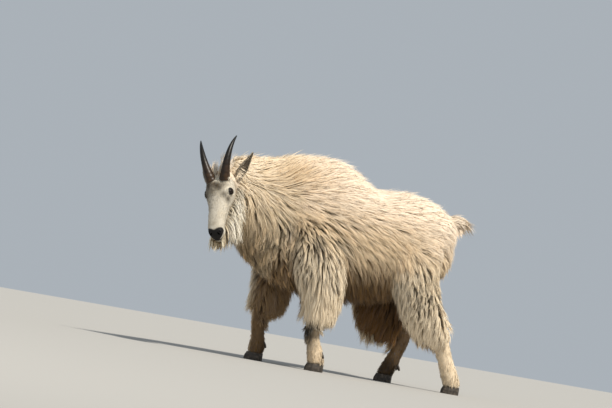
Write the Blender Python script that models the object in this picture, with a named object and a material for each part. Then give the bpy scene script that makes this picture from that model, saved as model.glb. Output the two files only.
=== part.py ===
"""A mountain goat, standing in mid step with its head turned to its left, life size.

Metres, +Z up. The goat faces -X and its left side is -Y. The origin is on the floor under the middle
of its box. Each soft node is a core with flat, tapered locks of the coat joined to it.
"""

import math
import random

import bmesh
import bpy
import numpy as np
from mathutils import Matrix, Vector
from mathutils.bvhtree import BVHTree

# Driving dimensions, with the coat. The tables below are drawn for a goat of this height
# and are scaled from it.
HUMP_HEIGHT = 0.972
DRAWN_HEIGHT = 0.972
SCALE = HUMP_HEIGHT / DRAWN_HEIGHT

# The gap between two nodes, and how far the smooth cores lie inside the outline, as a share of the
# coat's depth.
GAP = 0.0004
CORE_SHARE = 0.5
SEED = 7

DOWN = Vector((0.0, 0.0, -1.0))
UP = Vector((0.0, 0.0, 1.0))
FORWARD = Vector((-1.0, 0.0, 0.0))

# The trunk, cut across: x, top, bottom, half width, coat depth.
TRUNK = (
    (-0.480, 0.956, 0.370, 0.190, 0.080),
    (-0.430, 0.965, 0.362, 0.204, 0.080),
    (-0.330, 0.971, 0.358, 0.214, 0.075),
    (-0.230, 0.968, 0.362, 0.222, 0.070),
    (-0.150, 0.928, 0.366, 0.225, 0.068),
    (-0.080, 0.897, 0.374, 0.226, 0.065),
    (0.030, 0.887, 0.395, 0.224, 0.060),
    (0.130, 0.891, 0.430, 0.217, 0.060),
    (0.240, 0.866, 0.480, 0.205, 0.060),
    (0.315, 0.836, 0.535, 0.176, 0.060),
    (0.356, 0.808, 0.600, 0.130, 0.055),
    (0.378, 0.778, 0.660, 0.070, 0.045),
)
TRUNK_CUTS = (-0.480, -0.205, 0.105, 0.378)
TRUNK_NAMES = ("shoulders", "barrel", "rump")

# A limb or a neck, as rings along a path: x, y, z, half width, front, back, coat depth.
# On the neck the front is its top and the back its throat.
NECK = (
    (-0.4804, 0.000, 0.663, 0.190, 0.293, 0.293, 0.080),
    (-0.545, -0.004, 0.682, 0.170, 0.264, 0.250, 0.085),
    (-0.615, -0.014, 0.708, 0.138, 0.244, 0.190, 0.080),
    (-0.685, -0.032, 0.733, 0.102, 0.206, 0.138, 0.065),
    (-0.742, -0.055, 0.753, 0.074, 0.172, 0.102, 0.050),
    (-0.785, -0.080, 0.768, 0.058, 0.126, 0.078, 0.038),
)
FORELEG_LEFT = (
    (-0.370, -0.080, 0.760, 0.060, 0.110, 0.110, 0.030),
    (-0.345, -0.135, 0.620, 0.088, 0.118, 0.150, 0.050),
    (-0.305, -0.148, 0.480, 0.092, 0.130, 0.145, 0.065),
    (-0.272, -0.142, 0.370, 0.088, 0.105, 0.128, 0.070),
    (-0.262, -0.130, 0.290, 0.080, 0.085, 0.112, 0.070),
    (-0.270, -0.120, 0.218, 0.052, 0.045, 0.070, 0.034),
)
FORELEG_RIGHT = (
    (-0.420, 0.080, 0.760, 0.060, 0.110, 0.110, 0.030),
    (-0.428, 0.135, 0.620, 0.088, 0.115, 0.150, 0.050),
    (-0.440, 0.148, 0.480, 0.092, 0.090, 0.150, 0.060),
    (-0.448, 0.142, 0.370, 0.088, 0.070, 0.150, 0.060),
    (-0.450, 0.130, 0.280, 0.080, 0.074, 0.140, 0.065),
    (-0.450, 0.118, 0.200, 0.052, 0.042, 0.070, 0.034),
)
HINDLEG_LEFT = (
    (0.230, -0.070, 0.740, 0.070, 0.120, 0.090, 0.030),
    (0.210, -0.130, 0.610, 0.098, 0.155, 0.088, 0.050),
    (0.196, -0.145, 0.520, 0.100, 0.160, 0.095, 0.055),
    (0.212, -0.146, 0.440, 0.092, 0.135, 0.098, 0.055),
    (0.268, -0.138, 0.350, 0.080, 0.132, 0.086, 0.055),
    (0.326, -0.130, 0.290, 0.062, 0.100, 0.070, 0.045),
    (0.356, -0.124, 0.245, 0.048, 0.062, 0.054, 0.026),
)
HINDLEG_RIGHT = (
    (0.220, 0.070, 0.740, 0.070, 0.120, 0.100, 0.030),
    (0.185, 0.130, 0.610, 0.098, 0.160, 0.110, 0.050),
    (0.155, 0.145, 0.520, 0.100, 0.165, 0.120, 0.060),
    (0.162, 0.146, 0.430, 0.092, 0.186, 0.125, 0.070),
    (0.192, 0.138, 0.345, 0.080, 0.196, 0.115, 0.070),
    (0.220, 0.130, 0.275, 0.060, 0.166, 0.085, 0.060),
    (0.228, 0.126, 0.216, 0.042, 0.110, 0.056, 0.040),
)
SHANK_FRONT_LEFT = (
    (-0.274, -0.124, 0.255, 0.032, 0.034, 0.036, 0.0),
    (-0.262, -0.116, 0.175, 0.030, 0.032, 0.034, 0.0),
    (-0.248, -0.113, 0.130, 0.029, 0.031, 0.034, 0.0),
    (-0.234, -0.110, 0.085, 0.034, 0.034, 0.038, 0.0),
    (-0.224, -0.110, 0.052, 0.037, 0.036, 0.036, 0.0),
    (-0.222, -0.110, 0.036, 0.036, 0.036, 0.036, 0.0),
)
SHANK_FRONT_RIGHT = (
    (-0.452, 0.122, 0.245, 0.032, 0.034, 0.036, 0.0),
    (-0.451, 0.115, 0.165, 0.031, 0.033, 0.035, 0.0),
    (-0.447, 0.112, 0.125, 0.030, 0.032, 0.035, 0.0),
    (-0.443, 0.110, 0.085, 0.034, 0.035, 0.038, 0.0),
    (-0.443, 0.110, 0.052, 0.037, 0.036, 0.036, 0.0),
    (-0.446, 0.110, 0.036, 0.036, 0.036, 0.036, 0.0),
)
SHANK_HIND_LEFT = (
    (0.340, -0.126, 0.272, 0.036, 0.048, 0.044, 0.0),
    (0.374, -0.121, 0.205, 0.033, 0.040, 0.042, 0.0),
    (0.402, -0.120, 0.150, 0.032, 0.037, 0.038, 0.0),
    (0.430, -0.120, 0.092, 0.036, 0.040, 0.042, 0.0),
    (0.448, -0.120, 0.055, 0.038, 0.040, 0.039, 0.0),
    (0.452, -0.120, 0.036, 0.037, 0.038, 0.037, 0.0),
)
SHANK_HIND_RIGHT = (
    (0.268, 0.126, 0.274, 0.034, 0.044, 0.040, 0.0),
    (0.270, 0.121, 0.212, 0.032, 0.036, 0.036, 0.0),
    (0.253, 0.120, 0.155, 0.030, 0.033, 0.035, 0.0),
    (0.231, 0.120, 0.100, 0.034, 0.035, 0.039, 0.0),
    (0.213, 0.120, 0.058, 0.037, 0.037, 0.037, 0.0),
    (0.205, 0.120, 0.036, 0.036, 0.036, 0.036, 0.0),
)
TAIL = (
    (0.340, 0.0, 0.790, 0.042, 0.042, 0.045, 0.030),
    (0.378, 0.0, 0.803, 0.041, 0.037, 0.042, 0.030),
    (0.408, 0.0, 0.810, 0.030, 0.026, 0.032, 0.022),
    (0.430, 0.0, 0.810, 0.011, 0.010, 0.013, 0.008),
)

# The head has its own frame: the origin is midway between the eyes, f runs towards the nose, l to
# the goat's left and t out of the forehead. Rings along f: f, top, bottom, half width, jaw share.
# The jaw share is the width of the underside against that of the brow.
HEAD_PLACE = Vector((-0.819, -0.150, 0.7105))
HEAD_HEADING = 76.8
HEAD_PITCH = 56.0
HEAD_ROLL = 28.6
HEAD_RINGS = (
    (-0.118, -0.020, -0.085, 0.034, 0.90),
    (-0.108, 0.008, -0.112, 0.050, 0.90),
    (-0.085, 0.030, -0.134, 0.059, 0.84),
    (-0.055, 0.042, -0.147, 0.066, 0.80),
    (-0.028, 0.045, -0.150, 0.067, 0.74),
    (0.000, 0.040, -0.146, 0.064, 0.68),
    (0.028, 0.032, -0.134, 0.057, 0.64),
    (0.058, 0.025, -0.118, 0.047, 0.58),
    (0.090, 0.020, -0.104, 0.042, 0.58),
    (0.122, 0.016, -0.093, 0.039, 0.62),
    (0.152, 0.012, -0.088, 0.038, 0.68),
    (0.176, 0.007, -0.086, 0.037, 0.74),
    (0.196, -0.001, -0.084, 0.035, 0.78),
    (0.209, -0.012, -0.079, 0.029, 0.82),
    (0.217, -0.026, -0.067, 0.017, 0.86),
)
EYE_ACROSS = 0.0510
EYE_UP = 0.002
EYE_RADIUS = 0.0165
HORN_LENGTH = 0.224
HORN_BASE = (-0.053, 0.0316, 0.028)
EAR_LENGTH = 0.151
EAR_BASE = (-0.092, 0.054, -0.038)


def unit(vector):
    """The vector at length one."""
    return Vector(vector).normalized()


def head_axes():
    """The head's three directions: towards the nose, to its left and out of the forehead."""
    heading = math.radians(HEAD_HEADING)
    pitch = math.radians(HEAD_PITCH)
    ahead = Vector((-math.cos(heading), -math.sin(heading), 0.0))
    nose = math.cos(pitch) * ahead - math.sin(pitch) * UP
    left = UP.cross(ahead)
    left = Matrix.Rotation(math.radians(HEAD_ROLL), 3, nose) @ left
    return nose, left, nose.cross(left)


NOSE, LEFT, BROW = head_axes()


def on_head(f, l, t):
    """A point of the head's frame in the goat's frame."""
    return HEAD_PLACE + NOSE * f + LEFT * l + BROW * t


def spread(rows, steps):
    """A smooth run of rows through the given ones, with this many steps between two."""
    table = np.array(rows, dtype=float)
    ends = np.vstack((2 * table[0] - table[1], table, 2 * table[-1] - table[-2]))
    result = []
    for index in range(len(table) - 1):
        a, b, c, d = ends[index:index + 4]
        for step in range(steps):
            s = step / steps
            result.append(
                0.5 * (2 * b + (c - a) * s + (2 * a - 5 * b + 4 * c - d) * s * s
                       + (3 * b - a - 3 * c + d) * s ** 3)
            )
    result.append(table[-1])
    return np.array(result)


def mesh_object(name, points, faces):
    """One mesh object, its faces turned outward."""
    mesh = bpy.data.meshes.new(name)
    mesh.from_pydata([tuple(point) for point in points], [], [tuple(face) for face in faces])
    body = bpy.data.objects.new(name, mesh)
    bpy.context.scene.collection.objects.link(body)
    shape = bmesh.new()
    shape.from_mesh(mesh)
    bmesh.ops.recalc_face_normals(shape, faces=shape.faces)
    if shape.calc_volume(signed=True) < 0:
        bmesh.ops.reverse_faces(shape, faces=shape.faces)
    shape.to_mesh(mesh)
    shape.free()
    return body


def loft(name, rings, cap=True):
    """A closed body through rings that all have the same number of points."""
    count = len(rings[0])
    points = [point for ring in rings for point in ring]
    faces = []
    for row in range(len(rings) - 1):
        low = row * count
        for step in range(count):
            after = (step + 1) % count
            faces.append((low + step, low + after, low + count + after))
            faces.append((low + step, low + count + after, low + count + step))
    if cap:
        faces.append(tuple(range(count)))
        faces.append(tuple(range(len(points) - count, len(points))))
    return mesh_object(name, points, faces)


def oval(centre, across, along, half, front, back, sides, power=1.0):
    """A ring of points: half to both sides, with a front and a back reach of their own."""
    ring = []
    for step in range(sides):
        angle = 2.0 * math.pi * step / sides
        c = math.cos(angle)
        s = math.sin(angle)
        reach = front if s > 0 else back
        ring.append(
            centre
            + across * (half * math.copysign(abs(c) ** power, c))
            + along * (reach * math.copysign(abs(s) ** power, s))
        )
    return ring


def limb_rings(rows, lead, steps, sides, share, grow, flat_start=None, flat_end=None):
    """The rings of a limb or neck, drawn in by a share of the coat's depth."""
    run = spread(rows, steps)
    rings = []
    count = len(run)
    for index in range(count):
        here = Vector(run[index][:3])
        before = Vector(run[max(index - 1, 0)][:3])
        after = Vector(run[min(index + 1, count - 1)][:3])
        way = unit(after - before)
        if flat_start is not None and index < 4:
            way = unit(flat_start * (1.0 - index / 4.0) + way * (index / 4.0))
        elif index == 0:
            here = here - way * grow
        if index == count - 1:
            here = here + way * grow
        if flat_end is not None and index > count * 0.6:
            way = flat_end
        front = unit(lead - way * lead.dot(way))
        across = way.cross(front)
        half, ahead, behind, coat = run[index][3:7]
        less = coat * share - grow
        rings.append(oval(here, across, front, half - less, ahead - less, behind - less, sides))
    return rings


def trunk_rings(low, high, share, grow, sides=20):
    """The rings of the trunk between two cuts; a grown one stays off the face of the next."""
    run = spread(TRUNK, 8)
    stations = [low - grow]
    inner = [x for x in (-0.43, -0.38, -0.33, -0.265, -0.15, -0.10, -0.04, 0.03,
                         0.165, 0.22, 0.27, 0.32, 0.36, 0.388) if low + 0.015 < x < high - 0.015]
    stations += inner
    stations.append(high + grow if high > 0.3 else high + 0.5 * grow)
    rings = []
    for x in stations:
        top, bottom, half, coat = [
            float(np.interp(x, run[:, 0], run[:, column])) for column in (1, 2, 3, 4)
        ]
        less = coat * share - grow
        middle = Vector((x, 0.0, (top + bottom) / 2.0))
        reach = (top - bottom) / 2.0 - less
        rings.append(oval(middle, Vector((0, 1, 0)), UP, half - less, reach, reach, sides, 0.92))
    return rings


def ball(name, centre, axes, radii, rows=8, sides=12):
    """A closed ellipsoid with its poles along the third axis."""
    points = [centre - axes[2] * radii[2]]
    for row in range(1, rows):
        level = -math.cos(math.pi * row / rows)
        width = math.sin(math.pi * row / rows)
        for step in range(sides):
            angle = 2.0 * math.pi * step / sides
            points.append(
                centre
                + axes[0] * (radii[0] * width * math.cos(angle))
                + axes[1] * (radii[1] * width * math.sin(angle))
                + axes[2] * (radii[2] * level)
            )
    points.append(centre + axes[2] * radii[2])
    faces = []
    last = len(points) - 1
    for step in range(sides):
        after = (step + 1) % sides
        faces.append((0, 1 + after, 1 + step))
        top = 1 + (rows - 2) * sides
        faces.append((last, top + step, top + after))
        for row in range(rows - 2):
            low = 1 + row * sides
            faces.append((low + step, low + after, low + sides + after, low + sides + step))
    return mesh_object(name, points, faces)


def cord(name, path, radius, sides=6, ends=None):
    """A thin round body along a path of points."""
    rings = []
    count = len(path)
    for index in range(count):
        way = unit(path[min(index + 1, count - 1)] - path[max(index - 1, 0)])
        guide = BROW if abs(way.dot(BROW)) < 0.9 else LEFT
        across = unit(guide - way * guide.dot(way))
        other = way.cross(across)
        size = radius if ends is None else radius * ends[index]
        rings.append(oval(path[index], across, other, size, size, size, sides))
    return loft(name, rings)


def ring_body(name, centre, across, along, out, half, reach, radius, steps=16, sides=6):
    """A rim: a thin round body bent into an oval ring that bows towards out at its ends."""
    points = []
    for step in range(steps):
        angle = 2.0 * math.pi * step / steps
        c = math.cos(angle)
        s = math.sin(angle)
        middle = centre + across * (half * c) + along * (reach * s)
        outward = unit(across * (c / half) + along * (s / reach))
        for turn in range(sides):
            around = 2.0 * math.pi * turn / sides
            points.append(middle + outward * (radius * math.cos(around)) + out * (radius * math.sin(around)))
    faces = []
    for step in range(steps):
        later = (step + 1) % steps
        for turn in range(sides):
            after = (turn + 1) % sides
            faces.append((step * sides + turn, step * sides + after,
                          later * sides + after, later * sides + turn))
    return mesh_object(name, points, faces)


def remove(bodies):
    """Takes helper bodies out of the scene."""
    for body in bodies:
        mesh = body.data
        bpy.data.objects.remove(body, do_unlink=True)
        if mesh.users == 0:
            bpy.data.meshes.remove(mesh)


def part_sheets(shape):
    """Sets two sheets that touch along an edge a twentieth of a millimetre apart."""
    for number in range(40):
        touching_edges = [edge for edge in shape.edges if len(edge.link_faces) == 4]
        if not touching_edges:
            break
        edge = touching_edges[0]
        if edge.calc_length() < 0.00005:
            bmesh.ops.pointmerge(shape, verts=list(edge.verts), merge_co=edge.verts[0].co.copy())
            loose = [face for face in shape.faces if face.calc_area() < 1e-14]
            bmesh.ops.delete(shape, geom=loose, context="FACES")
            continue
        first, second = edge.verts
        along = unit(second.co - first.co)
        middle = (first.co + second.co) / 2.0
        guide = unit(along.orthogonal())
        other = along.cross(guide)
        starts = []
        ends = []
        for loop in edge.link_loops:
            third = [vert for vert in loop.face.verts if vert not in edge.verts][0]
            reach = third.co - middle
            angle = math.atan2(reach.dot(other), reach.dot(guide))
            (ends if loop.vert is first else starts).append((angle, third, loop.face))
        if len(starts) != 2:
            break
        # Flesh lies from a start round to an end; the two tightest wedges are kept together.
        choices = []
        for pairing in (((0, 0), (1, 1)), ((0, 1), (1, 0))):
            wedges = [(ends[e][0] - starts[s][0]) % (2.0 * math.pi) for s, e in pairing]
            choices.append((sum(wedges), pairing, wedges))
        choices.sort(key=lambda item: item[0])
        total, pairing, wedges = choices[0]
        for (s, e), wedge in zip(pairing, wedges):
            if starts[s][1] is ends[e][1]:
                continue
            angle = starts[s][0] + wedge / 2.0
            inward = guide * math.cos(angle) + other * math.sin(angle)
            new = shape.verts.new(middle + inward * 0.00005)
            for third, face in ((starts[s][1], starts[s][2]), (ends[e][1], ends[e][2])):
                verts = list(face.verts)
                place = verts.index(third)
                shape.faces.new((third, verts[(place + 1) % 3], new))
                shape.faces.new((third, new, verts[(place + 2) % 3]))
        around = starts + ends
        bmesh.ops.delete(shape, geom=[item[2] for item in around], context="FACES_ONLY")
        loose = [edge for edge in shape.edges if not edge.link_faces]
        bmesh.ops.delete(shape, geom=loose, context="EDGES")
        shape.normal_update()


def keep_largest(body, weld, mend=False):
    """Keeps the largest closed surface of a body and drops loose scraps and sealed hollows."""
    shape = bmesh.new()
    shape.from_mesh(body.data)
    bmesh.ops.remove_doubles(shape, verts=shape.verts, dist=weld)
    bmesh.ops.dissolve_degenerate(shape, edges=shape.edges, dist=weld)
    bmesh.ops.triangulate(shape, faces=shape.faces)
    shape.faces.ensure_lookup_table()
    seen = set()
    groups = []
    for start in shape.faces:
        if start.index in seen:
            continue
        seen.add(start.index)
        group = []
        stack = [start]
        while stack:
            face = stack.pop()
            group.append(face)
            for edge in face.edges:
                for other in edge.link_faces:
                    if other.index not in seen:
                        seen.add(other.index)
                        stack.append(other)
        groups.append(group)
    if len(groups) > 1:
        volumes = []
        for group in groups:
            volume = 0.0
            for face in group:
                a, b, c = [vert.co for vert in face.verts]
                volume += a.dot(b.cross(c)) / 6.0
            volumes.append(volume)
        best = volumes.index(max(volumes))
        loose = [face for index, group in enumerate(groups) if index != best for face in group]
        bmesh.ops.delete(shape, geom=loose, context="FACES")
    before = len([edge for edge in shape.edges if len(edge.link_faces) != 2])
    if mend and 0 < before < 20:
        part_sheets(shape)
    open_edges = len([edge for edge in shape.edges if not edge.is_contiguous])
    volume = shape.calc_volume(signed=True)
    shape.to_mesh(body.data)
    shape.free()
    return open_edges, volume


def combine(body, tools, operation):
    """Joins a set of closed bodies to this one, or cuts them out of it.

    Where faces touch along an edge, the tools are moved by less than a tenth of a millimetre and it is
    done again.
    """
    if not tools:
        return
    group = bpy.data.collections.new("operands")
    bpy.context.scene.collection.children.link(group)
    for tool in tools:
        group.objects.link(tool)
    draw = random.Random(len(tools))
    source = body.data.copy()
    size = keep_largest(body, 0.0000001)[1]
    least = size * (0.999 if operation == "UNION" else 0.12)
    best = None
    welds = (0.00001, 0.000001, 0.0000001)
    for number in range(12):
        if number in (4, 7, 10):
            for tool in tools:
                nudge = [draw.uniform(-0.00004, 0.00004) for axis in range(3)]
                tool.data.transform(Matrix.Translation(nudge))
        body.data = source.copy()
        modifier = body.modifiers.new("join", "BOOLEAN")
        modifier.operation = operation
        modifier.solver = "EXACT" if number == 0 else "MANIFOLD"
        modifier.operand_type = "COLLECTION"
        modifier.collection = group
        bpy.context.view_layer.update()
        graph = bpy.context.evaluated_depsgraph_get()
        result = bpy.data.meshes.new_from_object(body.evaluated_get(graph))
        body.modifiers.remove(modifier)
        body.data = result
        faults, volume = keep_largest(body, welds[number % 3], number > 0)
        if volume < least or (operation == "DIFFERENCE" and volume > size):
            faults = 100000
        if best is None or faults < best[0]:
            best = (faults, body.data)
        if faults == 0:
            break
    body.data = best[1]
    bpy.data.collections.remove(group)
    remove(tools)


def head_rings(steps, sides, grow=0.0):
    """The rings of the head, broad at the brow and narrower at the jaw."""
    run = spread(HEAD_RINGS, steps)
    rings = []
    for index, (f, top, bottom, half, jaw) in enumerate(run):
        if index == 0:
            f = f - grow
        if index == len(run) - 1:
            f = f + grow
        level = top - 0.32 * (top - bottom)
        ring = []
        for step in range(sides):
            angle = 2.0 * math.pi * step / sides
            c = math.cos(angle)
            s = math.sin(angle)
            across = math.copysign(abs(c) ** 0.85, c)
            if s > 0:
                up = (top - level + grow) * s ** 0.85
                share = 1.0
            else:
                up = -(level - bottom + grow) * (-s) ** 0.9
                share = 1.0 - (1.0 - jaw) * (-s)
            ring.append(on_head(f, across * (half * share + grow), level + up))
        rings.append(ring)
    return rings


def eye_axes(side):
    """The way an eye looks, and two directions across it."""
    out = unit(LEFT * (0.88 * side) + BROW * 0.36 + NOSE * 0.22)
    along = unit(NOSE - out * NOSE.dot(out))
    return out, along, out.cross(along)


def eye(name, side, grow=0.0):
    """An eyeball."""
    out, along, across = eye_axes(side)
    radius = EYE_RADIUS + grow
    centre = on_head(0.0, side * EYE_ACROSS, EYE_UP)
    return ball(name, centre, (along, across, out), (radius, radius, radius), 8, 12)


def horn(name, side, grow=0.0, rings_along=14, sides=9):
    """A horn: it leaves the brow, leans out and curves back, ringed at its base."""
    f, l, t = HORN_BASE
    here = Vector((f, side * l, t))
    rings = []
    step = HORN_LENGTH / (rings_along - 1)
    for index in range(rings_along):
        s = index / (rings_along - 1)
        lean = math.radians(50.0 - 68.0 * s)
        out = math.radians(14.3)
        way = Vector((-math.cos(lean) * math.cos(out), side * math.sin(out), math.sin(lean) * math.cos(out)))
        ridge = 1.0 + (0.035 if index % 2 else -0.015) * max(0.0, 1.0 - 1.8 * s)
        radius = (0.0225 * (1.0 - s) ** 0.80 + 0.0016) * ridge + grow
        lead = unit(Vector((0.0, 1.0, 0.0)) - way * way.y)
        other = way.cross(lead)
        ring = oval(here, lead, other, radius * 0.92, radius * 1.06, radius * 1.06, sides)
        rings.append([on_head(*point) for point in ring])
        here = here + way * step
    return loft(name, rings)


def ear_way(side):
    """The direction an ear points in and the way its cup opens, in the head's frame."""
    if side > 0:
        way = unit((-0.117, 0.094, 0.036))
        opening = Vector((0.62, 0.78, 0.02))
    else:
        way = unit((-0.118, -0.077, -0.012))
        opening = Vector((0.30, -0.45, 0.80))
    opening = unit(opening - way * opening.dot(way))
    return way, opening


EAR_SHAPE = (
    (0.00, 0.013, 0.012), (0.14, 0.019, 0.018), (0.30, 0.024, 0.019), (0.48, 0.024, 0.016),
    (0.66, 0.018, 0.012), (0.82, 0.011, 0.008), (0.93, 0.0060, 0.0055), (1.0, 0.0030, 0.0035),
)


def ear_middle(side, s):
    """The middle of an ear at a share of its length, with its two directions across."""
    way, opening = ear_way(side)
    f, l, t = EAR_BASE
    middle = Vector((f, side * l, t)) + way * (s * EAR_LENGTH) - opening * (0.012 * s * s)
    return middle, way.cross(opening), opening


def ear(name, side, wall=0.0026):
    """An ear: a lance-shaped leaf rolled into a cup."""
    rings = []
    for s, half, deep in EAR_SHAPE:
        middle, across, opening = ear_middle(side, s)
        outer = []
        inner = []
        for index in range(7):
            angle = math.radians(-105.0 + 35.0 * index)
            outer.append(middle + across * (half * math.sin(angle)) - opening * (deep * math.cos(angle)))
            inner.append(
                middle + across * (max(half - wall, 0.0012) * math.sin(angle))
                - opening * (max(deep - wall, 0.0008) * math.cos(angle))
                + opening * 0.0006
            )
        rings.append([on_head(*point) for point in outer + inner[::-1]])
    return loft(name, rings)


def ear_block(side):
    """The whole space an ear takes, with its cup, which the coat keeps clear of."""
    rings = []
    for s, half, deep in EAR_SHAPE:
        middle, across, opening = ear_middle(side, s * 1.02 - 0.005)
        points = []
        for index in range(9):
            angle = math.radians(-120.0 + 30.0 * index)
            wide = (half + 0.0016) * math.sin(angle)
            thick = (deep + 0.0016) * math.cos(angle)
            points.append(middle + across * wide - opening * thick)
        rings.append([on_head(*point) for point in points])
    return loft("ear", rings)


def hoof(name, foot, heading, side):
    """One toe of a cloven hoof, flat underneath."""
    ahead = Vector((-math.cos(heading), -math.sin(heading), 0.0))
    out = Vector((ahead.y, -ahead.x, 0.0)) * side
    outline = (
        (-0.034, 0.004), (-0.036, 0.020), (-0.024, 0.033), (0.000, 0.036),
        (0.024, 0.030), (0.042, 0.016), (0.046, 0.008), (0.036, 0.003), (0.000, 0.0028),
    )
    rings = []
    for height, size, back in ((0.0, 1.0, 0.0), (0.018, 0.98, 0.001), (0.0356, 0.88, 0.005)):
        ring = []
        for a, o in outline:
            inner = max(o - 0.0028, 0.0) * size + 0.0028
            ring.append(foot + ahead * (a * size - back) + out * inner + UP * height)
        rings.append(ring)
    return loft(name, rings)


def dewclaw(name, place, back, heading, side):
    """A small horny cone behind the fetlock, pointing down and back."""
    ahead = Vector((-math.cos(heading), -math.sin(heading), 0.0))
    out = Vector((ahead.y, -ahead.x, 0.0)) * side
    root = place - ahead * (back - 0.012) + out * 0.014
    way = unit(-ahead * 0.55 + DOWN * 0.85 + out * 0.20)
    lead = unit(out - way * out.dot(way))
    other = way.cross(lead)
    rings = []
    for s, radius in ((0.0, 0.0105), (0.017, 0.0095), (0.029, 0.0045)):
        rings.append(oval(root + way * s, lead, other, radius, radius * 0.8, radius * 0.8, 6))
    return loft(name, rings)


# Each lock is a path of points with a normal at each, a width and a thickness.
def lock_body(lock, grow=0.0):
    """One flat, tapered lock: flat below, ridged above, along its path to a pointed tip."""
    path, normals, width, thick = lock
    count = len(path)
    profile = (0.70, 1.0, 0.92, 0.60, 0.30)
    points = []
    for index in range(count - 1):
        way = unit(path[min(index + 1, count - 1)] - path[max(index - 1, 0)])
        normal = unit(normals[index] - way * normals[index].dot(way))
        across = way.cross(normal)
        size = profile[index]
        deep = thick * (0.5 + 0.5 * size)
        half = width * 0.5 * size
        half += grow * 1.5 * (1.0 + 1.5 * half / deep)
        high = deep * 0.66 + grow * 1.5
        low = deep * 0.34 + grow * 1.5
        here = path[index] - way * (grow if index == 0 else 0.0)
        points.append(here + across * half - normal * low)
        points.append(here + normal * high)
        points.append(here - across * half - normal * low)
    tip_way = unit(path[-1] - path[-2])
    points.append(path[-1] + tip_way * grow * 16.0)
    faces = [(0, 2, 1)]
    for ring in range(count - 2):
        low = ring * 3
        for step in range(3):
            after = (step + 1) % 3
            a, b = low + step, low + after
            c, d = low + 3 + after, low + 3 + step
            faces += [(a, b, c), (a, c, d)]
    last = (count - 2) * 3
    tip = len(points) - 1
    for step in range(3):
        faces.append((last + step, last + (step + 1) % 3, tip))
    return mesh_object("lock", points, faces)


def tree_of(bodies):
    """A search tree of the surfaces of some bodies."""
    points = []
    faces = []
    for body in bodies:
        first = len(points)
        points += [vert.co.copy() for vert in body.data.vertices]
        faces += [tuple(first + index for index in face.vertices) for face in body.data.polygons]
    return BVHTree.FromPolygons(points, faces)


def lie(node, place, normal):
    """The way the coat lies at a place."""
    top = min(1.0, max(0.0, normal.z * 1.1 + 0.15))
    low = min(1.0, max(0.0, (0.62 - place.z) / 0.25))
    if node == "neck":
        way = Vector((0.75 * top - 0.35 * (1.0 - top), 0.0, -0.15 * top - 1.0 * (1.0 - top)))
    elif node == "shoulders":
        front = min(1.0, max(0.0, (-0.34 - place.x) / 0.10))
        side = Vector((0.40 - 0.65 * front, 0.0, -1.0))
        way = side * (1.0 - top) + Vector((1.0, 0.0, 0.0)) * top
    elif node == "barrel":
        side = Vector((0.85 - 0.45 * low, 0.0, -0.62 - 0.40 * low))
        way = side * (1.0 - top) + Vector((1.0, 0.0, -0.05)) * top
    elif node == "rump":
        behind = min(1.0, max(0.0, (place.x - 0.30) / 0.06))
        side = Vector((0.85, 0.0, -0.62 - 0.5 * behind))
        way = side * (1.0 - top) + Vector((1.0, 0.0, -0.10)) * top
    elif node == "tail":
        way = Vector((1.0, 0.0, -0.35))
    elif node.startswith("foreleg"):
        way = Vector((0.22, 0.0, -1.0))
    elif node == "hindleg_right":
        way = Vector((0.10 - 0.45 * low, 0.0, -1.0))
    else:
        way = Vector((0.25, 0.0, -1.0))
    return way


def lock_path(node, root, normal, length, depth, sink, fall, tree, draw, steps=4):
    """A lock's path: rooted in the core, then over the surface and free where it leaves it."""
    way = lie(node, root, normal)
    way = unit(way - normal * way.dot(normal) * 0.9)
    turn = draw.uniform(-0.30, 0.30)
    way = Matrix.Rotation(turn, 3, normal) @ way
    bend = draw.uniform(-0.16, 0.16)
    path = [root - normal * sink - way * 0.2 * sink]
    normals = [normal.copy()]
    here = root.copy()
    stride = length / (steps - 1)
    current = normal.copy()
    for step in range(1, steps + 1):
        s = step / steps
        if step > 1:
            here = here + way * stride
        height = depth * (0.10 + 0.90 * s) if step > 1 else depth * 0.22
        found, face_normal, index, distance = tree.find_nearest(here)
        lift = (here - found).dot(face_normal)
        cling = min(1.0, max(0.0, 0.45 + 1.1 * face_normal.z)) if step > 1 else 1.0
        if lift < height:
            here = here + face_normal * (height - lift)
            current = unit(current * 0.3 + face_normal * 0.7)
        elif distance < 0.12:
            here = here - face_normal * (lift - height) * cling
            current = unit(current + face_normal * cling)
        path.append(here.copy())
        normals.append(current.copy())
        aim = lie(node, here, current)
        aim = unit(aim - current * aim.dot(current) * 0.8)
        way = unit(way * 0.45 + aim * 0.45 + DOWN * fall)
        way = Matrix.Rotation(bend, 3, current) @ way
    return path, normals


def inside(tree, point):
    """Whether a point lies inside a closed surface."""
    start = point.copy()
    way = Vector((0.61, 0.42, 0.67)).normalized()
    crossings = 0
    for step in range(20):
        found, normal, index, distance = tree.ray_cast(start, way)
        if found is None:
            break
        crossings += 1
        start = found + way * 0.00005
    return crossings % 2 == 1


def crosses_itself(body):
    """Whether two faces of a body that share no corner run into each other."""
    faces = [set(face.vertices) for face in body.data.polygons]
    own = BVHTree.FromPolygons([vert.co for vert in body.data.vertices], [tuple(face) for face in faces])
    return any(first < second and not faces[first] & faces[second] for first, second in own.overlap(own))


def sound(lock):
    """Whether a lock and its grown copy are both free of folds."""
    for grow in (0.0, 2.0 * GAP):
        body = lock_body(lock, grow)
        folded = crosses_itself(body)
        remove([body])
        if folded:
            return False
    return True


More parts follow.
